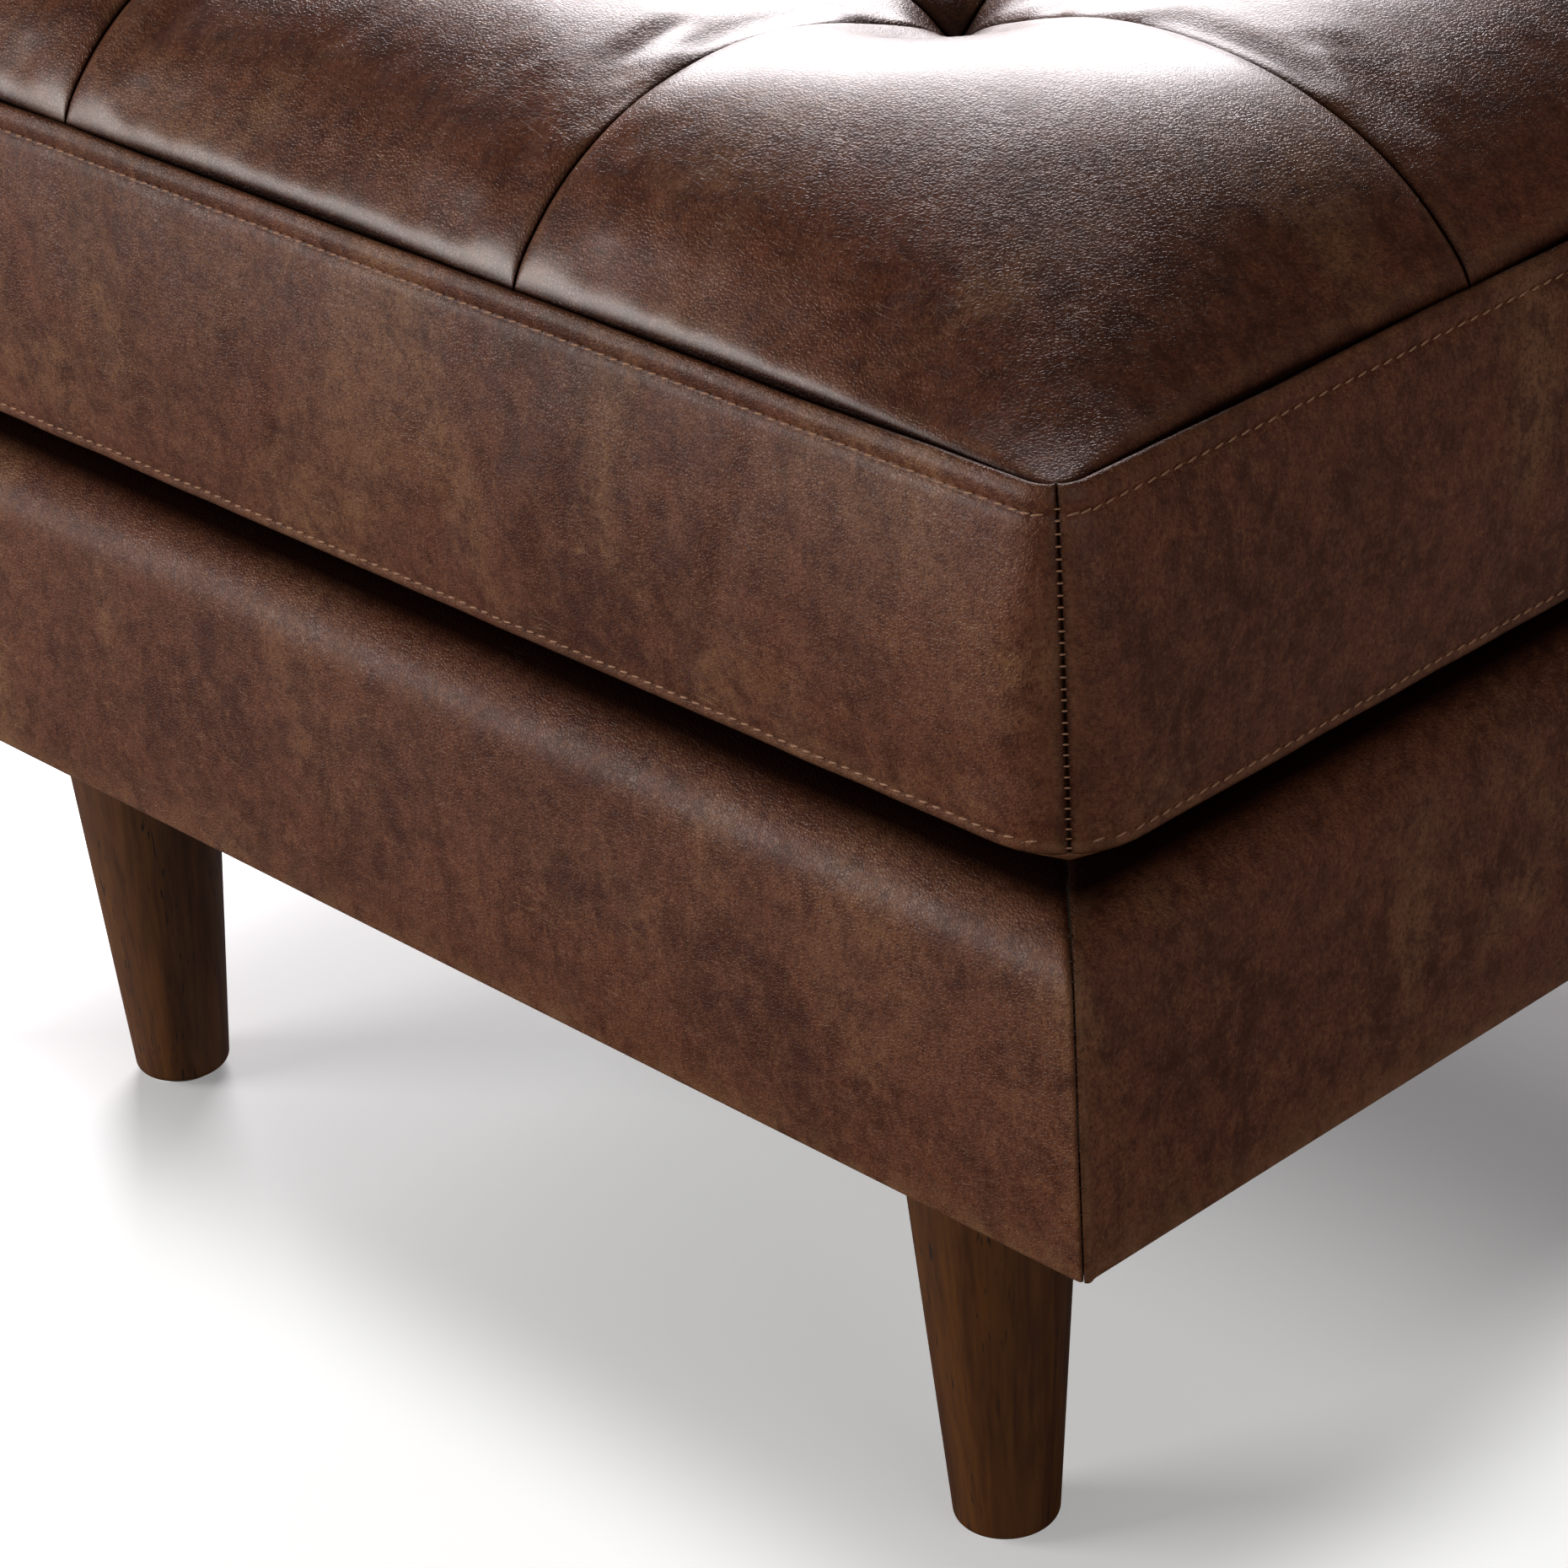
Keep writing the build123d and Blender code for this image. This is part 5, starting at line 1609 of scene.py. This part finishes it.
@dataclass
class Stitching:
    """A run of raised stitches, each a small rounded bar, gathered into one piece."""

    pitch: float = 5.5 * MM
    length: float = 3.9 * MM
    thick: float = 0.9 * MM
    slant: float = 0.35 * MM
    lift: float = 0.4 * MM
    crossing: bool = False
    unevenness: float = 0.08 * MM

    def __post_init__(self) -> None:
        """Models one stitch and keeps its shape."""
        bpy.ops.object.select_all(action="DESELECT")
        bpy.ops.mesh.primitive_uv_sphere_add(segments=6, ring_count=5, radius=0.5)
        stitch = bpy.context.active_object
        bpy.ops.object.mode_set(mode="EDIT")
        bpy.ops.mesh.select_all(action="SELECT")
        bpy.ops.transform.rotate(value=math.pi / 2, orient_axis="Y", center_override=(0, 0, 0))
        bpy.ops.object.mode_set(mode="OBJECT")
        self.template = np.array([v.co for v in stitch.data.vertices]) * [self.length, self.thick, self.thick]
        self.template_faces = [tuple(f.vertices) for f in stitch.data.polygons]
        bpy.data.objects.remove(stitch)
        self.points: list[Grid] = []
        self.faces: Faces = []

    def along(self, line: Grid, normal: Grid, run: Grid, seed: int) -> None:
        """Lays stitches along a line on a surface.

        Args:
            line: the line's points.
            normal: the surface's outward direction at each.
            run: the place of each along the line.
            seed: number that settles the small unevenness.
        """
        steps = np.random.default_rng(seed)
        count = int((run[-1] - run[0] - self.pitch) / self.pitch)
        start = (run[0] + run[-1] - (count - 1) * self.pitch) / 2
        for number in range(count):
            at = start + number * self.pitch
            centre, further, out = (
                np.array([np.interp(place, run, values[:, axis]) for axis in range(3)])
                for place, values in ((at, line), (at + MM, line), (at, normal))
            )
            ahead = further - centre
            ahead = ahead / np.linalg.norm(ahead)
            out = out / np.linalg.norm(out)
            across = np.cross(out, ahead)
            turn = np.stack([across, ahead, out] if self.crossing else [ahead, across, out])
            bar = self.template.copy()
            bar[:, 1] += bar[:, 0] / self.length * 2 * self.slant + steps.normal(0, self.unevenness)
            first = sum(len(p) for p in self.points)
            self.points.append(bar @ turn + centre + out * self.lift)
            self.faces += [tuple(first + n for n in face) for face in self.template_faces]

    def make(self, name: str) -> Piece:
        """The gathered stitches as one object."""
        return make_mesh(name, np.concatenate(self.points), self.faces)


# Base

@dataclass
class Base:
    """The upholstered base: four leather sides over a soft roll, the cloths and the padding."""

    wardrobe: Wardrobe
    body: str = "base"
    step: float = 4.5 * MM
    leather: float = 1.8 * MM
    corner_radius: float = 2.2 * MM
    roll_radius: float = 26 * MM
    roll_corner: float = 0.45
    # Painted shadow under the cushion's edge: the roll darkens fully between the crevice's insets, and the hidden deck
    # flange, dark from there, eases off between its insets by the hidden_light share.
    crevice: Span = (7 * MM, 17 * MM)
    hidden: Span = (30 * MM, 44 * MM)
    hidden_light: float = 0.7
    crevice_shade_power: float = 1.3
    profile_rows: tuple[int, ...] = (5, 6, 22, 16, 14)
    turned_under: float = 24 * MM
    flange: float = 75 * MM
    edge_radius: float = 2.4 * MM
    belly: float = 1.6 * MM
    lip: float = 0.9 * MM
    lip_width: float = 3.2 * MM
    lip_ends: Span = (20 * MM, 60 * MM)
    foot_wear: Triple = (0.1, 0.8, 0.7)
    foot_wear_rise: float = 14.0
    strip_gap: float = 0.2 * MM
    edge_steps: tuple[float, ...] = (0.5 * MM, 1.1 * MM, 1.9 * MM, 2.8 * MM, 3.6 * MM, 5 * MM, 8 * MM)
    broad_waves: Waviness = Waviness(1.3 * MM, 9.0, 4.0, (1.0, 1.0, 0.6))
    small_waves: Waviness = Waviness(0.45 * MM, 28.0, 9.0)
    calm_edges: Triple = (12 * MM, 20 * MM, 14 * MM)
    calm_above: float = 2 * MM
    corner_seam: Span = (1.2 * MM, 0.7 * MM)
    corner_wear: Triple = (0.7, 1.6 * MM, 1.6 * MM)
    long_side_wear: float = 0.35
    # width of the painted shade along the corner seams
    corner_shade_width: float = 0.5 * MM
    cloth_points: tuple[int, int] = (61, 49)
    cloth_waves: Waviness = Waviness(0.3 * MM, 26.0, 6.0)
    cloth_margin: float = 20 * MM
    cloth_slack_power: float = 0.7
    dust_sag: float = 2.2 * MM
    dust_thick: float = 0.8 * MM
    lining_thick: float = 0.9 * MM
    padding_gap: float = 0.5 * MM
    deck_corner: float = 12 * MM
    deck_levels: tuple[Span, ...] = ((3.0, 0.0), (0.6, 0.12), (0.0, 0.4), (0.0, 0.7), (0.8, 0.92), (3.5, 1.0))
    roll_rows: int = 9
    padding_corner: float = 0.4
    wad_thick: float = 5.6 * MM
    wad_corner: float = 2 * MM
    wad_levels: tuple[Span, ...] = ((0.6, 0.0), (0.0, 0.03), (0.0, 0.97), (0.6, 1.0))
    padding_steps: Span = (20 * MM, 12 * MM)

    def __post_init__(self) -> None:
        """Reads the frame's boxes."""
        low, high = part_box("base_cover_front")
        self.outline = Outline(2 * high.x, -2 * low.y, self.corner_radius)
        self.bottom, self.top = low.z, high.z

    def build(self) -> None:
        """Builds every piece of the base that is not wood or metal."""
        for side in Side:
            self.cover(side)
        self.cloths()
        self.padding()

    def profile(self) -> list[tuple[float, float, float, float, float]]:
        """Section of a side from the inner edge of its turn-under to that of its deck flange.

        Returns:
            Inset, height, wear, corner radius and painted shade of each point.
        """
        rows: list[tuple[float, float, float, float, float]] = []
        r, big, corner = self.edge_radius, self.roll_radius, self.corner_radius
        under_wear, edge_wear, face_wear = self.foot_wear
        under_rows, edge_rows, face_rows, roll_rows, flange_rows = self.profile_rows
        for inset in np.linspace(self.turned_under, r, under_rows)[:-1]:
            rows.append((inset, self.bottom, under_wear, corner, 0.0))
        for angle in np.linspace(0, math.pi / 2, edge_rows):
            rows.append((r - r * math.sin(angle), self.bottom + r - r * math.cos(angle), edge_wear, corner, 0.0))
        face_low, face_high = self.bottom + r, self.top - big
        for share in np.linspace(0, 1, face_rows)[1:-1]:
            bow = self.belly * float(arch(share))
            wear = face_wear * math.exp(-share * self.foot_wear_rise)
            rows.append((-bow, face_low + share * (face_high - face_low), wear, corner, 0.0))
        for angle in np.linspace(0, math.pi / 2, roll_rows):
            inset = big - big * math.cos(angle)
            # Painted shadow of the cushion's overhang on the roll.
            dark = float(ramp(inset - self.crevice[0], self.crevice[1] - self.crevice[0])) ** self.crevice_shade_power
            rows.append((inset, face_high + big * math.sin(angle), 0.0, corner + self.roll_corner * inset, dark))
        for share in np.linspace(0, 1, flange_rows)[1:]:
            inset = big + share * (self.flange - big)
            # Painted shade on the flange hidden under the cushion, easing off further in.
            deep = float(ramp(inset - self.hidden[0], self.hidden[1] - self.hidden[0]))
            rows.append((inset, self.top, 0.0, corner + self.roll_corner * big, 1.0 - self.hidden_light * deep))
        return rows

    def cover(self, side: Side) -> None:
        """One side's leather, with the seams at its corners and the worn lip beside them.

        Args:
            side: which side.
        """
        insets, heights, wears, radii, creases = np.array(self.profile()).T
        half, straight = self.outline.half_run(side), self.outline.straight_share(side)
        run = graded(2 * half - self.strip_gap, self.step, self.edge_steps)
        run = run - run[-1] / 2
        outlines = [self.outline.inset(inset, radius) for inset, radius in zip(insets, radii)]
        strips = [outline.strip(side, run / half, straight) for outline in outlines]
        points, normals = (np.array(part) for part in zip(*strips))
        points[..., 2] = heights[:, None]
        levels = points[..., 2]
        below, above, beside = self.calm_edges
        face = ramp(levels - self.bottom, below) * ramp(self.top + self.calm_above - levels, above, 0.2)
        end = np.minimum(run + half, half - run)[None, :]
        out = (self.broad_waves.at(points) + self.small_waves.at(points)) * face * ramp(end, beside, 0.1)
        out = out - self.corner_seam[0] * fading(end, self.corner_seam[1])
        if not side.along_x:
            lower = ramp(self.top - self.lip_ends[0] - levels, self.lip_ends[1])
            out = out + self.lip * bell(end, self.lip_width, 4) * lower
        points += normals * out[..., None]
        size = points.shape[:2]
        most, place, width = self.corner_wear
        wear = wears[:, None] + most * bell(end - place, width) * (self.long_side_wear if side.along_x else 1)
        # Painted shade along the corner seams, in the crevice and on the flange.
        painted_shade = np.maximum(fading(end, self.corner_shade_width), creases[:, None])
        values = {"wear": np.broadcast_to(wear, size), "painted_shade": painted_shade}
        piece = make_mesh(f"base_leather_{side.label}", points, grid_faces(*size), values)
        thicken(piece, self.leather)
        self.wardrobe.attach(piece, self.body, Finish.BASE_LEATHER, [f"base_cover_{side.label}"])
        upright = (heights > self.bottom + 2 * self.edge_radius) & (insets < self.crevice[1])
        seam = Stitching(pitch=4.8 * MM, length=2.2 * MM, thick=0.75 * MM, slant=0, lift=0.25 * MM, crossing=True)
        seam.along(points[upright, -1], normals[upright, -1], levels[upright, -1], seed=side.value + 9)
        piece = seam.make(f"base_corner_stitch_{side.label}")
        self.wardrobe.attach(piece, self.body, Finish.BASE_LEATHER, look=DARK_THREAD)

    def flat_sheet(self, name: str, node: str, sag: float, thick: float) -> None:
        """A rectangle of cloth stretched flat where its CAD node is, a little slack in the middle.

        Args:
            name: the piece's name.
            node: the CAD node it stands for.
            sag: how far its middle hangs.
            thick: the cloth's thickness.
        """
        low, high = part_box(node)
        width, depth = high.x - low.x, high.y - low.y
        columns, rows = self.cloth_points
        u, v = np.meshgrid(np.linspace(0, 1, columns), np.linspace(0, 1, rows))
        drop = sag * (arch(u) * arch(v)) ** self.cloth_slack_power
        points = np.stack([low.x + u * width, low.y + v * depth, high.z - drop], -1)
        margin = ramp(edge_distance(u, v, width, depth), self.cloth_margin)
        points[..., 2] -= (self.cloth_waves.height + self.cloth_waves.at(points)) * margin
        piece = make_mesh(name, points, grid_faces(rows, columns))
        thicken(piece, thick)
        self.wardrobe.attach(piece, self.body, Finish.BLACK_CLOTH, [node])

    def cloths(self) -> None:
        """The black cloth stapled under the base, and that in the middle of the deck under the cushion."""
        self.flat_sheet("dust_cloth", "dust_cover", self.dust_sag, self.dust_thick)
        self.flat_sheet("deck_lining", "deck_cloth", 0.0, self.lining_thick)

    def soft(self, name: str, node: str, levels: list[tuple[Outline, float]], fill: float, finish: Finish) -> None:
        """One piece of padding from its outlines.

        Args:
            name: the piece's name.
            node: the CAD node it stands for.
            levels: outline and height of each level.
            fill: how full it is; not used.
            finish: the record's slot.
        """
        solid = node == "deck_pad"
        piece = ring_piece(name, levels, self.padding_steps[0 if solid else 1], caps=solid)
        self.wardrobe.attach(piece, self.body, finish, [node])

    def padding(self) -> None:
        """The foam deck, the roll on the rails and the wadding on their outer faces."""
        low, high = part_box("deck_pad")
        pad = Outline(high.x - low.x, high.y - low.y, self.deck_corner)
        deck = [
            (pad.inset(inset * MM, self.deck_corner), low.z + share * (high.z - low.z))
            for inset, share in self.deck_levels
        ]
        self.soft("deck_padding", "deck_pad", deck, 0.8, Finish.FOAM)
        low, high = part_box("edge_roll")
        gap, radius = self.leather + self.padding_gap, high.z - low.z
        turns = np.linspace(0, math.pi / 2, self.roll_rows)
        places = [(gap + radius * (1 - math.cos(turn)), low.z + radius * math.sin(turn)) for turn in turns]
        roll = [
            (self.outline.inset(inset, self.corner_radius + self.padding_corner * inset), level)
            for inset, level in [*places, (gap + radius, low.z)]
        ]
        self.soft("edge_padding", "edge_roll", roll, 0.8, Finish.FOAM)
        low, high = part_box("side_padding")
        outer = Outline(high.x * 2, high.y * 2, self.corner_radius)
        wad = [(outer.inset(inset * MM, self.corner_radius), share) for inset, share in self.wad_levels]
        wad += [(outer.inset(self.wad_thick, self.wad_corner), share) for share in (1.0, 0.0)]
        wad = [(outline, low.z + share * (high.z - low.z)) for outline, share in wad]
        self.soft("side_wadding", "side_padding", wad, 0.7, Finish.FIBRE)


@dataclass
class Bands:
    """Woven bands and twisted twine: the webbing, the zip's tapes and the ties of the tufts."""

    wardrobe: Wardrobe
    station: float = 7 * MM
    squareness: float = 0.4
    end_share: float = 0.8
    around: int = 20
    twine_radius: float = 1.2 * MM
    twist: float = 7 * MM
    plies: int = 3
    twist_points: int = 10
    ply_share: float = 1 / 2.1
    ply_around: int = 8
    knot_height: float = 2.0 * MM
    knot_points: tuple[int, int] = (9, 20)
    knot_bumps: float = 0.12
    least_gap: Triple = (0.05 * MM, 0.3 * MM, 0.5 * MM)

    def band(self, rim: Grid, along: int, across: int, low: float, high: float) -> tuple[Grid, int]:
        """One band between two edges, following the rise and fall of its CAD solid.

        Args:
            rim: the solid's points on the band's first edge.
            along: the axis it runs along.
            across: the axis of its width.
            low: its first edge.
            high: its second edge.

        Returns:
            Its rings of points, and how many rings there are.
        """
        up = 3 - along - across
        same, _, apart = self.least_gap
        at = np.unique(np.round(rim[:, along], 5))
        near = [np.abs(rim[:, along] - place) < same for place in at]
        top = np.array([rim[beside, up].max() for beside in near])
        foot = np.array([rim[beside, up].min() for beside in near])
        fine = np.unique(np.concatenate([at, np.arange(at[0], at[-1], self.station)]))
        fine = fine[np.diff(fine, prepend=-math.inf) > apart]
        upper, lower = np.interp(fine, at, top), np.interp(fine, at, foot)
        turn = np.linspace(0, 2 * math.pi, self.around, endpoint=False)
        reach, rise = (np.sign(wave) * np.abs(wave) ** self.squareness for wave in (np.cos(turn), np.sin(turn)))
        points = np.zeros((len(fine), self.around, 3))
        points[..., along] = fine[:, None]
        points[..., across] = (low + high) / 2 + (high - low) / 2 * reach
        points[..., up] = (upper + lower)[:, None] / 2 + (upper - lower)[:, None] / 2 * rise
        return points.reshape(-1, 3), len(fine)

    def woven(self, name: str, node: str, along: int, across: int, body: str, finish: Finish) -> None:
        """Models all the bands of one CAD node.

        Args:
            name: the new piece's name.
            node: the CAD node.
            along: the axis that its bands run along.
            across: the axis of their width.
            body: the CAD body they move with.
            finish: their finish.
        """
        solid = frame["nodes"][node]
        points = np.array([solid.matrix_world @ vertex.co for vertex in solid.data.vertices])
        middle = points[np.abs(points[:, along]) < self.end_share * np.abs(points[:, along]).max()]
        edges = np.sort(np.unique(np.round((middle if len(middle) else points)[:, across], 5)))
        edges = edges[np.diff(edges, prepend=-math.inf) > self.least_gap[1]]
        rings: list[Grid] = []
        faces: Faces = []
        for low, high in zip(edges[::2], edges[1::2]):
            first = sum(len(ring) for ring in rings)
            beside = points[np.abs(points[:, across] - low) < self.least_gap[1]]
            ring, count = self.band(beside, along, across, low, high)
            rings.append(ring)
            faces += grid_faces(count, self.around, closed=True, first=first)
            end = first + (count - 1) * self.around
            faces.append(tuple(range(first + self.around - 1, first - 1, -1)))
            faces.append(tuple(range(end, end + self.around)))
        piece = make_mesh(name, np.concatenate(rings), faces)
        recalculate(piece)
        smooth_below(piece, 40)
        self.wardrobe.attach(piece, body, finish, [node])
        log.info("%s: %d bands", name, len(rings))

    def ties(self, tufts: Sequence[Span]) -> None:
        """The twisted twine of each tuft, knotted under its anchor and at the top.

        Args:
            tufts: where the tufts are.
        """
        low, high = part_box("tuft_ties")
        knot_radius = high.x - max(x for x, _ in tufts)
        ends = (low.z + self.knot_height / 2, high.z - self.knot_height / 2)
        levels = np.arange(ends[0], ends[1], self.twist / self.twist_points)
        ply = self.twine_radius * self.ply_share
        turn = np.linspace(0, 2 * math.pi, self.ply_around, endpoint=False)
        circle = np.stack([np.cos(turn), np.sin(turn), np.zeros_like(turn)], -1) * ply
        rows, columns = self.knot_points
        wide = np.linspace(0, 2 * math.pi, columns, endpoint=False)
        wide, tall = np.meshgrid(wide, np.linspace(-0.5, 0.5, rows) * math.pi)
        bump = 1 + self.knot_bumps * np.sin(3 * wide + 5 * tall)
        flat = knot_radius / (1 + self.knot_bumps)
        knot = np.stack([np.cos(wide) * np.cos(tall) * bump, np.sin(wide) * np.cos(tall) * bump, np.sin(tall)], -1)
        knot = knot * [flat, flat, self.knot_height / 2]
        rings: list[Grid] = []
        faces: Faces = []

        def add(ring: Grid) -> None:
            """Adds one closed grid of points."""
            first = sum(len(other) for other in rings)
            rings.append(ring.reshape(-1, 3))
            faces.extend(grid_faces(*ring.shape[:2], closed=True, first=first))

        for x, y in tufts:
            for number in range(self.plies):
                angle = 2 * math.pi * (levels / self.twist + number / self.plies)
                middle = np.stack([x + ply * np.cos(angle), y + ply * np.sin(angle), levels], -1)
                add(middle[:, None] + circle[None])
            for level in ends:
                add(knot + [x, y, level])
        piece = make_mesh("tuft_twine", np.concatenate(rings), faces)
        recalculate(piece)
        self.wardrobe.attach(piece, "cushion", Finish.TWINE, ["tuft_ties"])

    def build(self, tufts: Sequence[Span]) -> None:
        """Models every band and tie.

        Args:
            tufts: where the tufts are.
        """
        self.woven("jute_webbing_lengthwise", "webbing_lengthwise", 0, 1, "base", Finish.WEBBING)
        self.woven("jute_webbing_crosswise", "webbing_crosswise", 1, 0, "base", Finish.WEBBING)
        self.woven("zip_tape_bands", "zip_tapes", 0, 2, "cushion", Finish.ZIP_TAPE)
        self.ties(tufts)


@dataclass
class Hardware:
    """The CAD nodes that keep their own shape: legs, frame, fixings and zip chain."""

    wardrobe: Wardrobe
    tab_width: float = 6.5 * MM
    tab_length: float = 24 * MM
    tab_thick: float = 1.3 * MM
    tab_gap: float = 0.5 * MM
    loop_width: float = 3 * MM
    loop_height: float = 4.4 * MM

    def rounded_block(self, name: str, size: Triple, centre: Triple, edge: float) -> None:
        """A block with rounded edges.

        Args:
            name: the piece's name.
            size: its width, thickness and height.
            centre: where its middle lies.
            edge: the radius of its edges.
        """
        bpy.ops.object.select_all(action="DESELECT")
        bpy.ops.mesh.primitive_cube_add(size=1)
        block = bpy.context.active_object
        block.name = name
        bpy.ops.object.mode_set(mode="EDIT")
        bpy.ops.mesh.select_all(action="SELECT")
        bpy.ops.transform.resize(value=size, center_override=(0, 0, 0))
        bpy.ops.mesh.bevel(offset=edge, segments=3, affect="EDGES")
        bpy.ops.transform.translate(value=centre)
        bpy.ops.object.mode_set(mode="OBJECT")
        smooth_below(block, 35)
        self.wardrobe.attach(block, "slider", Finish.SLIDER)

    def zip_pull(self) -> None:
        """The zip's pull tab, hanging just clear of the leather, and the loop that holds it."""
        low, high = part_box("zip_slider")
        across, level = (low.x + high.x) / 2, (low.z + high.z) / 2
        out, thick = high.y + self.tab_gap, self.tab_thick
        loop = (self.loop_width, self.tab_gap + 2 * thick, self.loop_height)
        self.rounded_block("zip_pull_loop", loop, (across, out, level), thick / 2.2)
        tab = (self.tab_width, thick, self.tab_length)
        hung = (across, out + thick / 2, level - self.tab_length / 2 + self.loop_height / 4)
        self.rounded_block("zip_pull_tab", tab, hung, thick / 3)

    def build(self) -> None:
        """Dresses each node that still shows and adds the zip's pull."""
        self.zip_pull()
        slots = {part["node"]: part["material_slot"] for part in frame["record"]["subparts"]}
        for name, node in frame["nodes"].items():
            if node.hide_render:
                continue
            finish = Finish(slots[name])
            turned = name.endswith(("bearer", "left_rail", "right_rail"))
            self.wardrobe.dress(node, finish, SIDEWAYS_WOOD if turned and finish is Finish.RAIL else None)
            log.info("%s dressed as %s", name, finish.value)


# Light and camera

@dataclass(frozen=True)
class Lamp:
    """One soft rectangular lamp: where it stands, the point it faces, its size, watts and colour."""

    name: str
    place: Triple
    aim: Triple
    size: Span
    power: float
    colour: Colour

    def build(self) -> None:
        """Hangs the lamp."""
        data = bpy.data.lights.new(self.name, "AREA")
        data.shape = "RECTANGLE"
        data.size, data.size_y = self.size
        data.energy, data.color = self.power, self.colour
        lamp = bpy.data.objects.new(self.name, data)
        bpy.context.scene.collection.objects.link(lamp)
        lamp.location = self.place
        lamp.rotation_euler = (Vector(self.aim) - Vector(self.place)).to_track_quat("-Z", "Y").to_euler()


LAMPS = (
    Lamp("back_window", (-1.75, 1.75, 1.62), (0, 0, 0.42), (1.6, 1.2), 98, (1.0, 0.955, 0.985)),
    Lamp("front_key", (-2.05, -2.75, 0.95), (0, 0, 0.25), (1.8, 1.3), 82, (1.0, 0.985, 0.97)),
    Lamp("right_fill", (2.9, -0.6, 0.8), (0, 0, 0.25), (1.8, 1.2), 15, (1.0, 0.95, 0.91)),
)


@dataclass
class Studio:
    """The floor, the soft lamps and the camera of the picture."""

    lens: float = 119.84
    sensor: float = 36.0
    eye: Triple = (1.2304, -1.1985, 1.0584)
    heading: float = 137.5
    pitch: float = 28.54
    roll: float = -3.8
    floor_size: float = 16.0
    floor_seen: Colour = (0.95, 0.95, 0.95)
    floor_shaded: Colour = (0.42, 0.42, 0.42)
    floor_bounce: Colour = (0.62, 0.62, 0.62)
    floor_mirrored: Colour = (0.16, 0.15, 0.15)
    floor_roughness: float = 0.9
    white: Colour = (1.0, 1.0, 1.0)
    # Reach and strength of the painted shadow under the object and of the painted glow round it.
    shade_edge: float = 0.09
    shade_back: Span = (-0.10, 0.13)
    back_share: Span = (0.05, 1.0)
    shade_left: Span = (-0.05, -0.25)
    left_share: Span = (0.0, 0.35)
    glow_reach: Span = (0.06, -0.03)
    floor_glow: Span = (0.3, 0.7)
    surround: Colour = (0.12, 0.117, 0.114)
    surround_mirrored: Colour = (0.03, 0.03, 0.03)
    far_end: float = 50.0

    def camera(self) -> None:
        """The camera at the photograph's place and angle."""
        data = bpy.data.cameras.new("camera")
        data.lens, data.sensor_width = self.lens, self.sensor
        data.clip_end = self.far_end
        camera = bpy.data.objects.new("camera", data)
        bpy.context.scene.collection.objects.link(camera)
        yaw, pitch, roll = (math.radians(a) for a in (self.heading, self.pitch, self.roll))
        ahead = Vector((math.cos(pitch) * math.cos(yaw), math.cos(pitch) * math.sin(yaw), -math.sin(pitch)))
        right = ahead.cross(Vector((0, 0, 1))).normalized()
        up = right.cross(ahead)
        across = right * math.cos(roll) + up * math.sin(roll)
        upward = up * math.cos(roll) - right * math.sin(roll)
        camera.matrix_world = Matrix.Translation(self.eye) @ Matrix((across, upward, -ahead)).transposed().to_4x4()
        bpy.context.scene.camera = camera

    def floor(self) -> None:
        """A wide white floor with a painted shadow deep under the object and a painted glow, brighter away from it,
        both seen only by the camera.
        """
        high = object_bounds()[1]
        bpy.ops.object.select_all(action="DESELECT")
        bpy.ops.mesh.primitive_plane_add(size=self.floor_size, location=(0, 0, 0))
        floor = bpy.context.active_object
        floor.name = "floor"
        material, made, shader, place = new_material("white floor")
        apart = made.node("SeparateXYZ", {0: place}).outputs
        inside = [made.maths("SUBTRACT", high[axis], made.maths("ABSOLUTE", apart[axis])) for axis in (0, 1)]
        depth = made.maths("MINIMUM", *inside)
        # Painted shadow: the floor darkens deep under the object, most towards the back and the left.
        back = made.fit(apart[1], self.shade_back, self.back_share)
        left = made.fit(apart[0], self.shade_left, self.left_share)
        under = made.times(made.fit(depth, (0.0, self.shade_edge)), made.maths("MAXIMUM", back, left))
        shown = made.mix(under, self.floor_seen, self.floor_shaded)
        path = made.node("LightPath").outputs
        bounce = made.mix(path["Is Glossy Ray"], self.floor_bounce, self.floor_mirrored)
        # Painted glow: the camera sees the floor emit light, more away from the object and less in its painted shadow.
        glow = made.fit(depth, self.glow_reach, self.floor_glow)
        glow = made.times(glow, made.maths("SUBTRACT", 1.0, under))
        made.feed(shader, {
            "Base Color": made.mix(path["Is Camera Ray"], bounce, shown),
            "Roughness": self.floor_roughness,
            "Specular IOR Level": 0.0,
            "Emission Color": self.white,
            "Emission Strength": made.times(path["Is Camera Ray"], glow),
        })
        floor.data.materials.append(material)
        floor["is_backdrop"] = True

    def lamps(self) -> None:
        """A low window behind on the left, a soft key at the front left and a weak fill on the right."""
        for lamp in LAMPS:
            lamp.build()

    def world(self) -> None:
        """A plain pale surround, white to the camera."""
        world = bpy.data.worlds.new("surround")
        world.use_nodes = True
        bpy.context.scene.world = world
        made = Tree(world.node_tree)
        path = made.node("LightPath").outputs
        light = made.mix(path["Is Glossy Ray"], self.surround, self.surround_mirrored)
        seen = made.mix(path["Is Camera Ray"], light, self.white)
        made.feed(world.node_tree.nodes["Background"], {"Color": seen})

    def build(self) -> None:
        """Sets everything round the object."""
        self.camera()
        self.floor()
        self.lamps()
        self.world()
        bpy.context.scene.view_settings.view_transform = "Standard"


def main() -> None:
    """Builds the whole scene in order."""
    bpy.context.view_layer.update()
    Studio().build()
    wardrobe = Wardrobe()
    Base(wardrobe).build()
    cushion = Cushion(wardrobe)
    cushion.build()
    Bands(wardrobe).build(cushion.shape.tufts)
    Hardware(wardrobe).build()


if __name__ == "__main__":
    main()
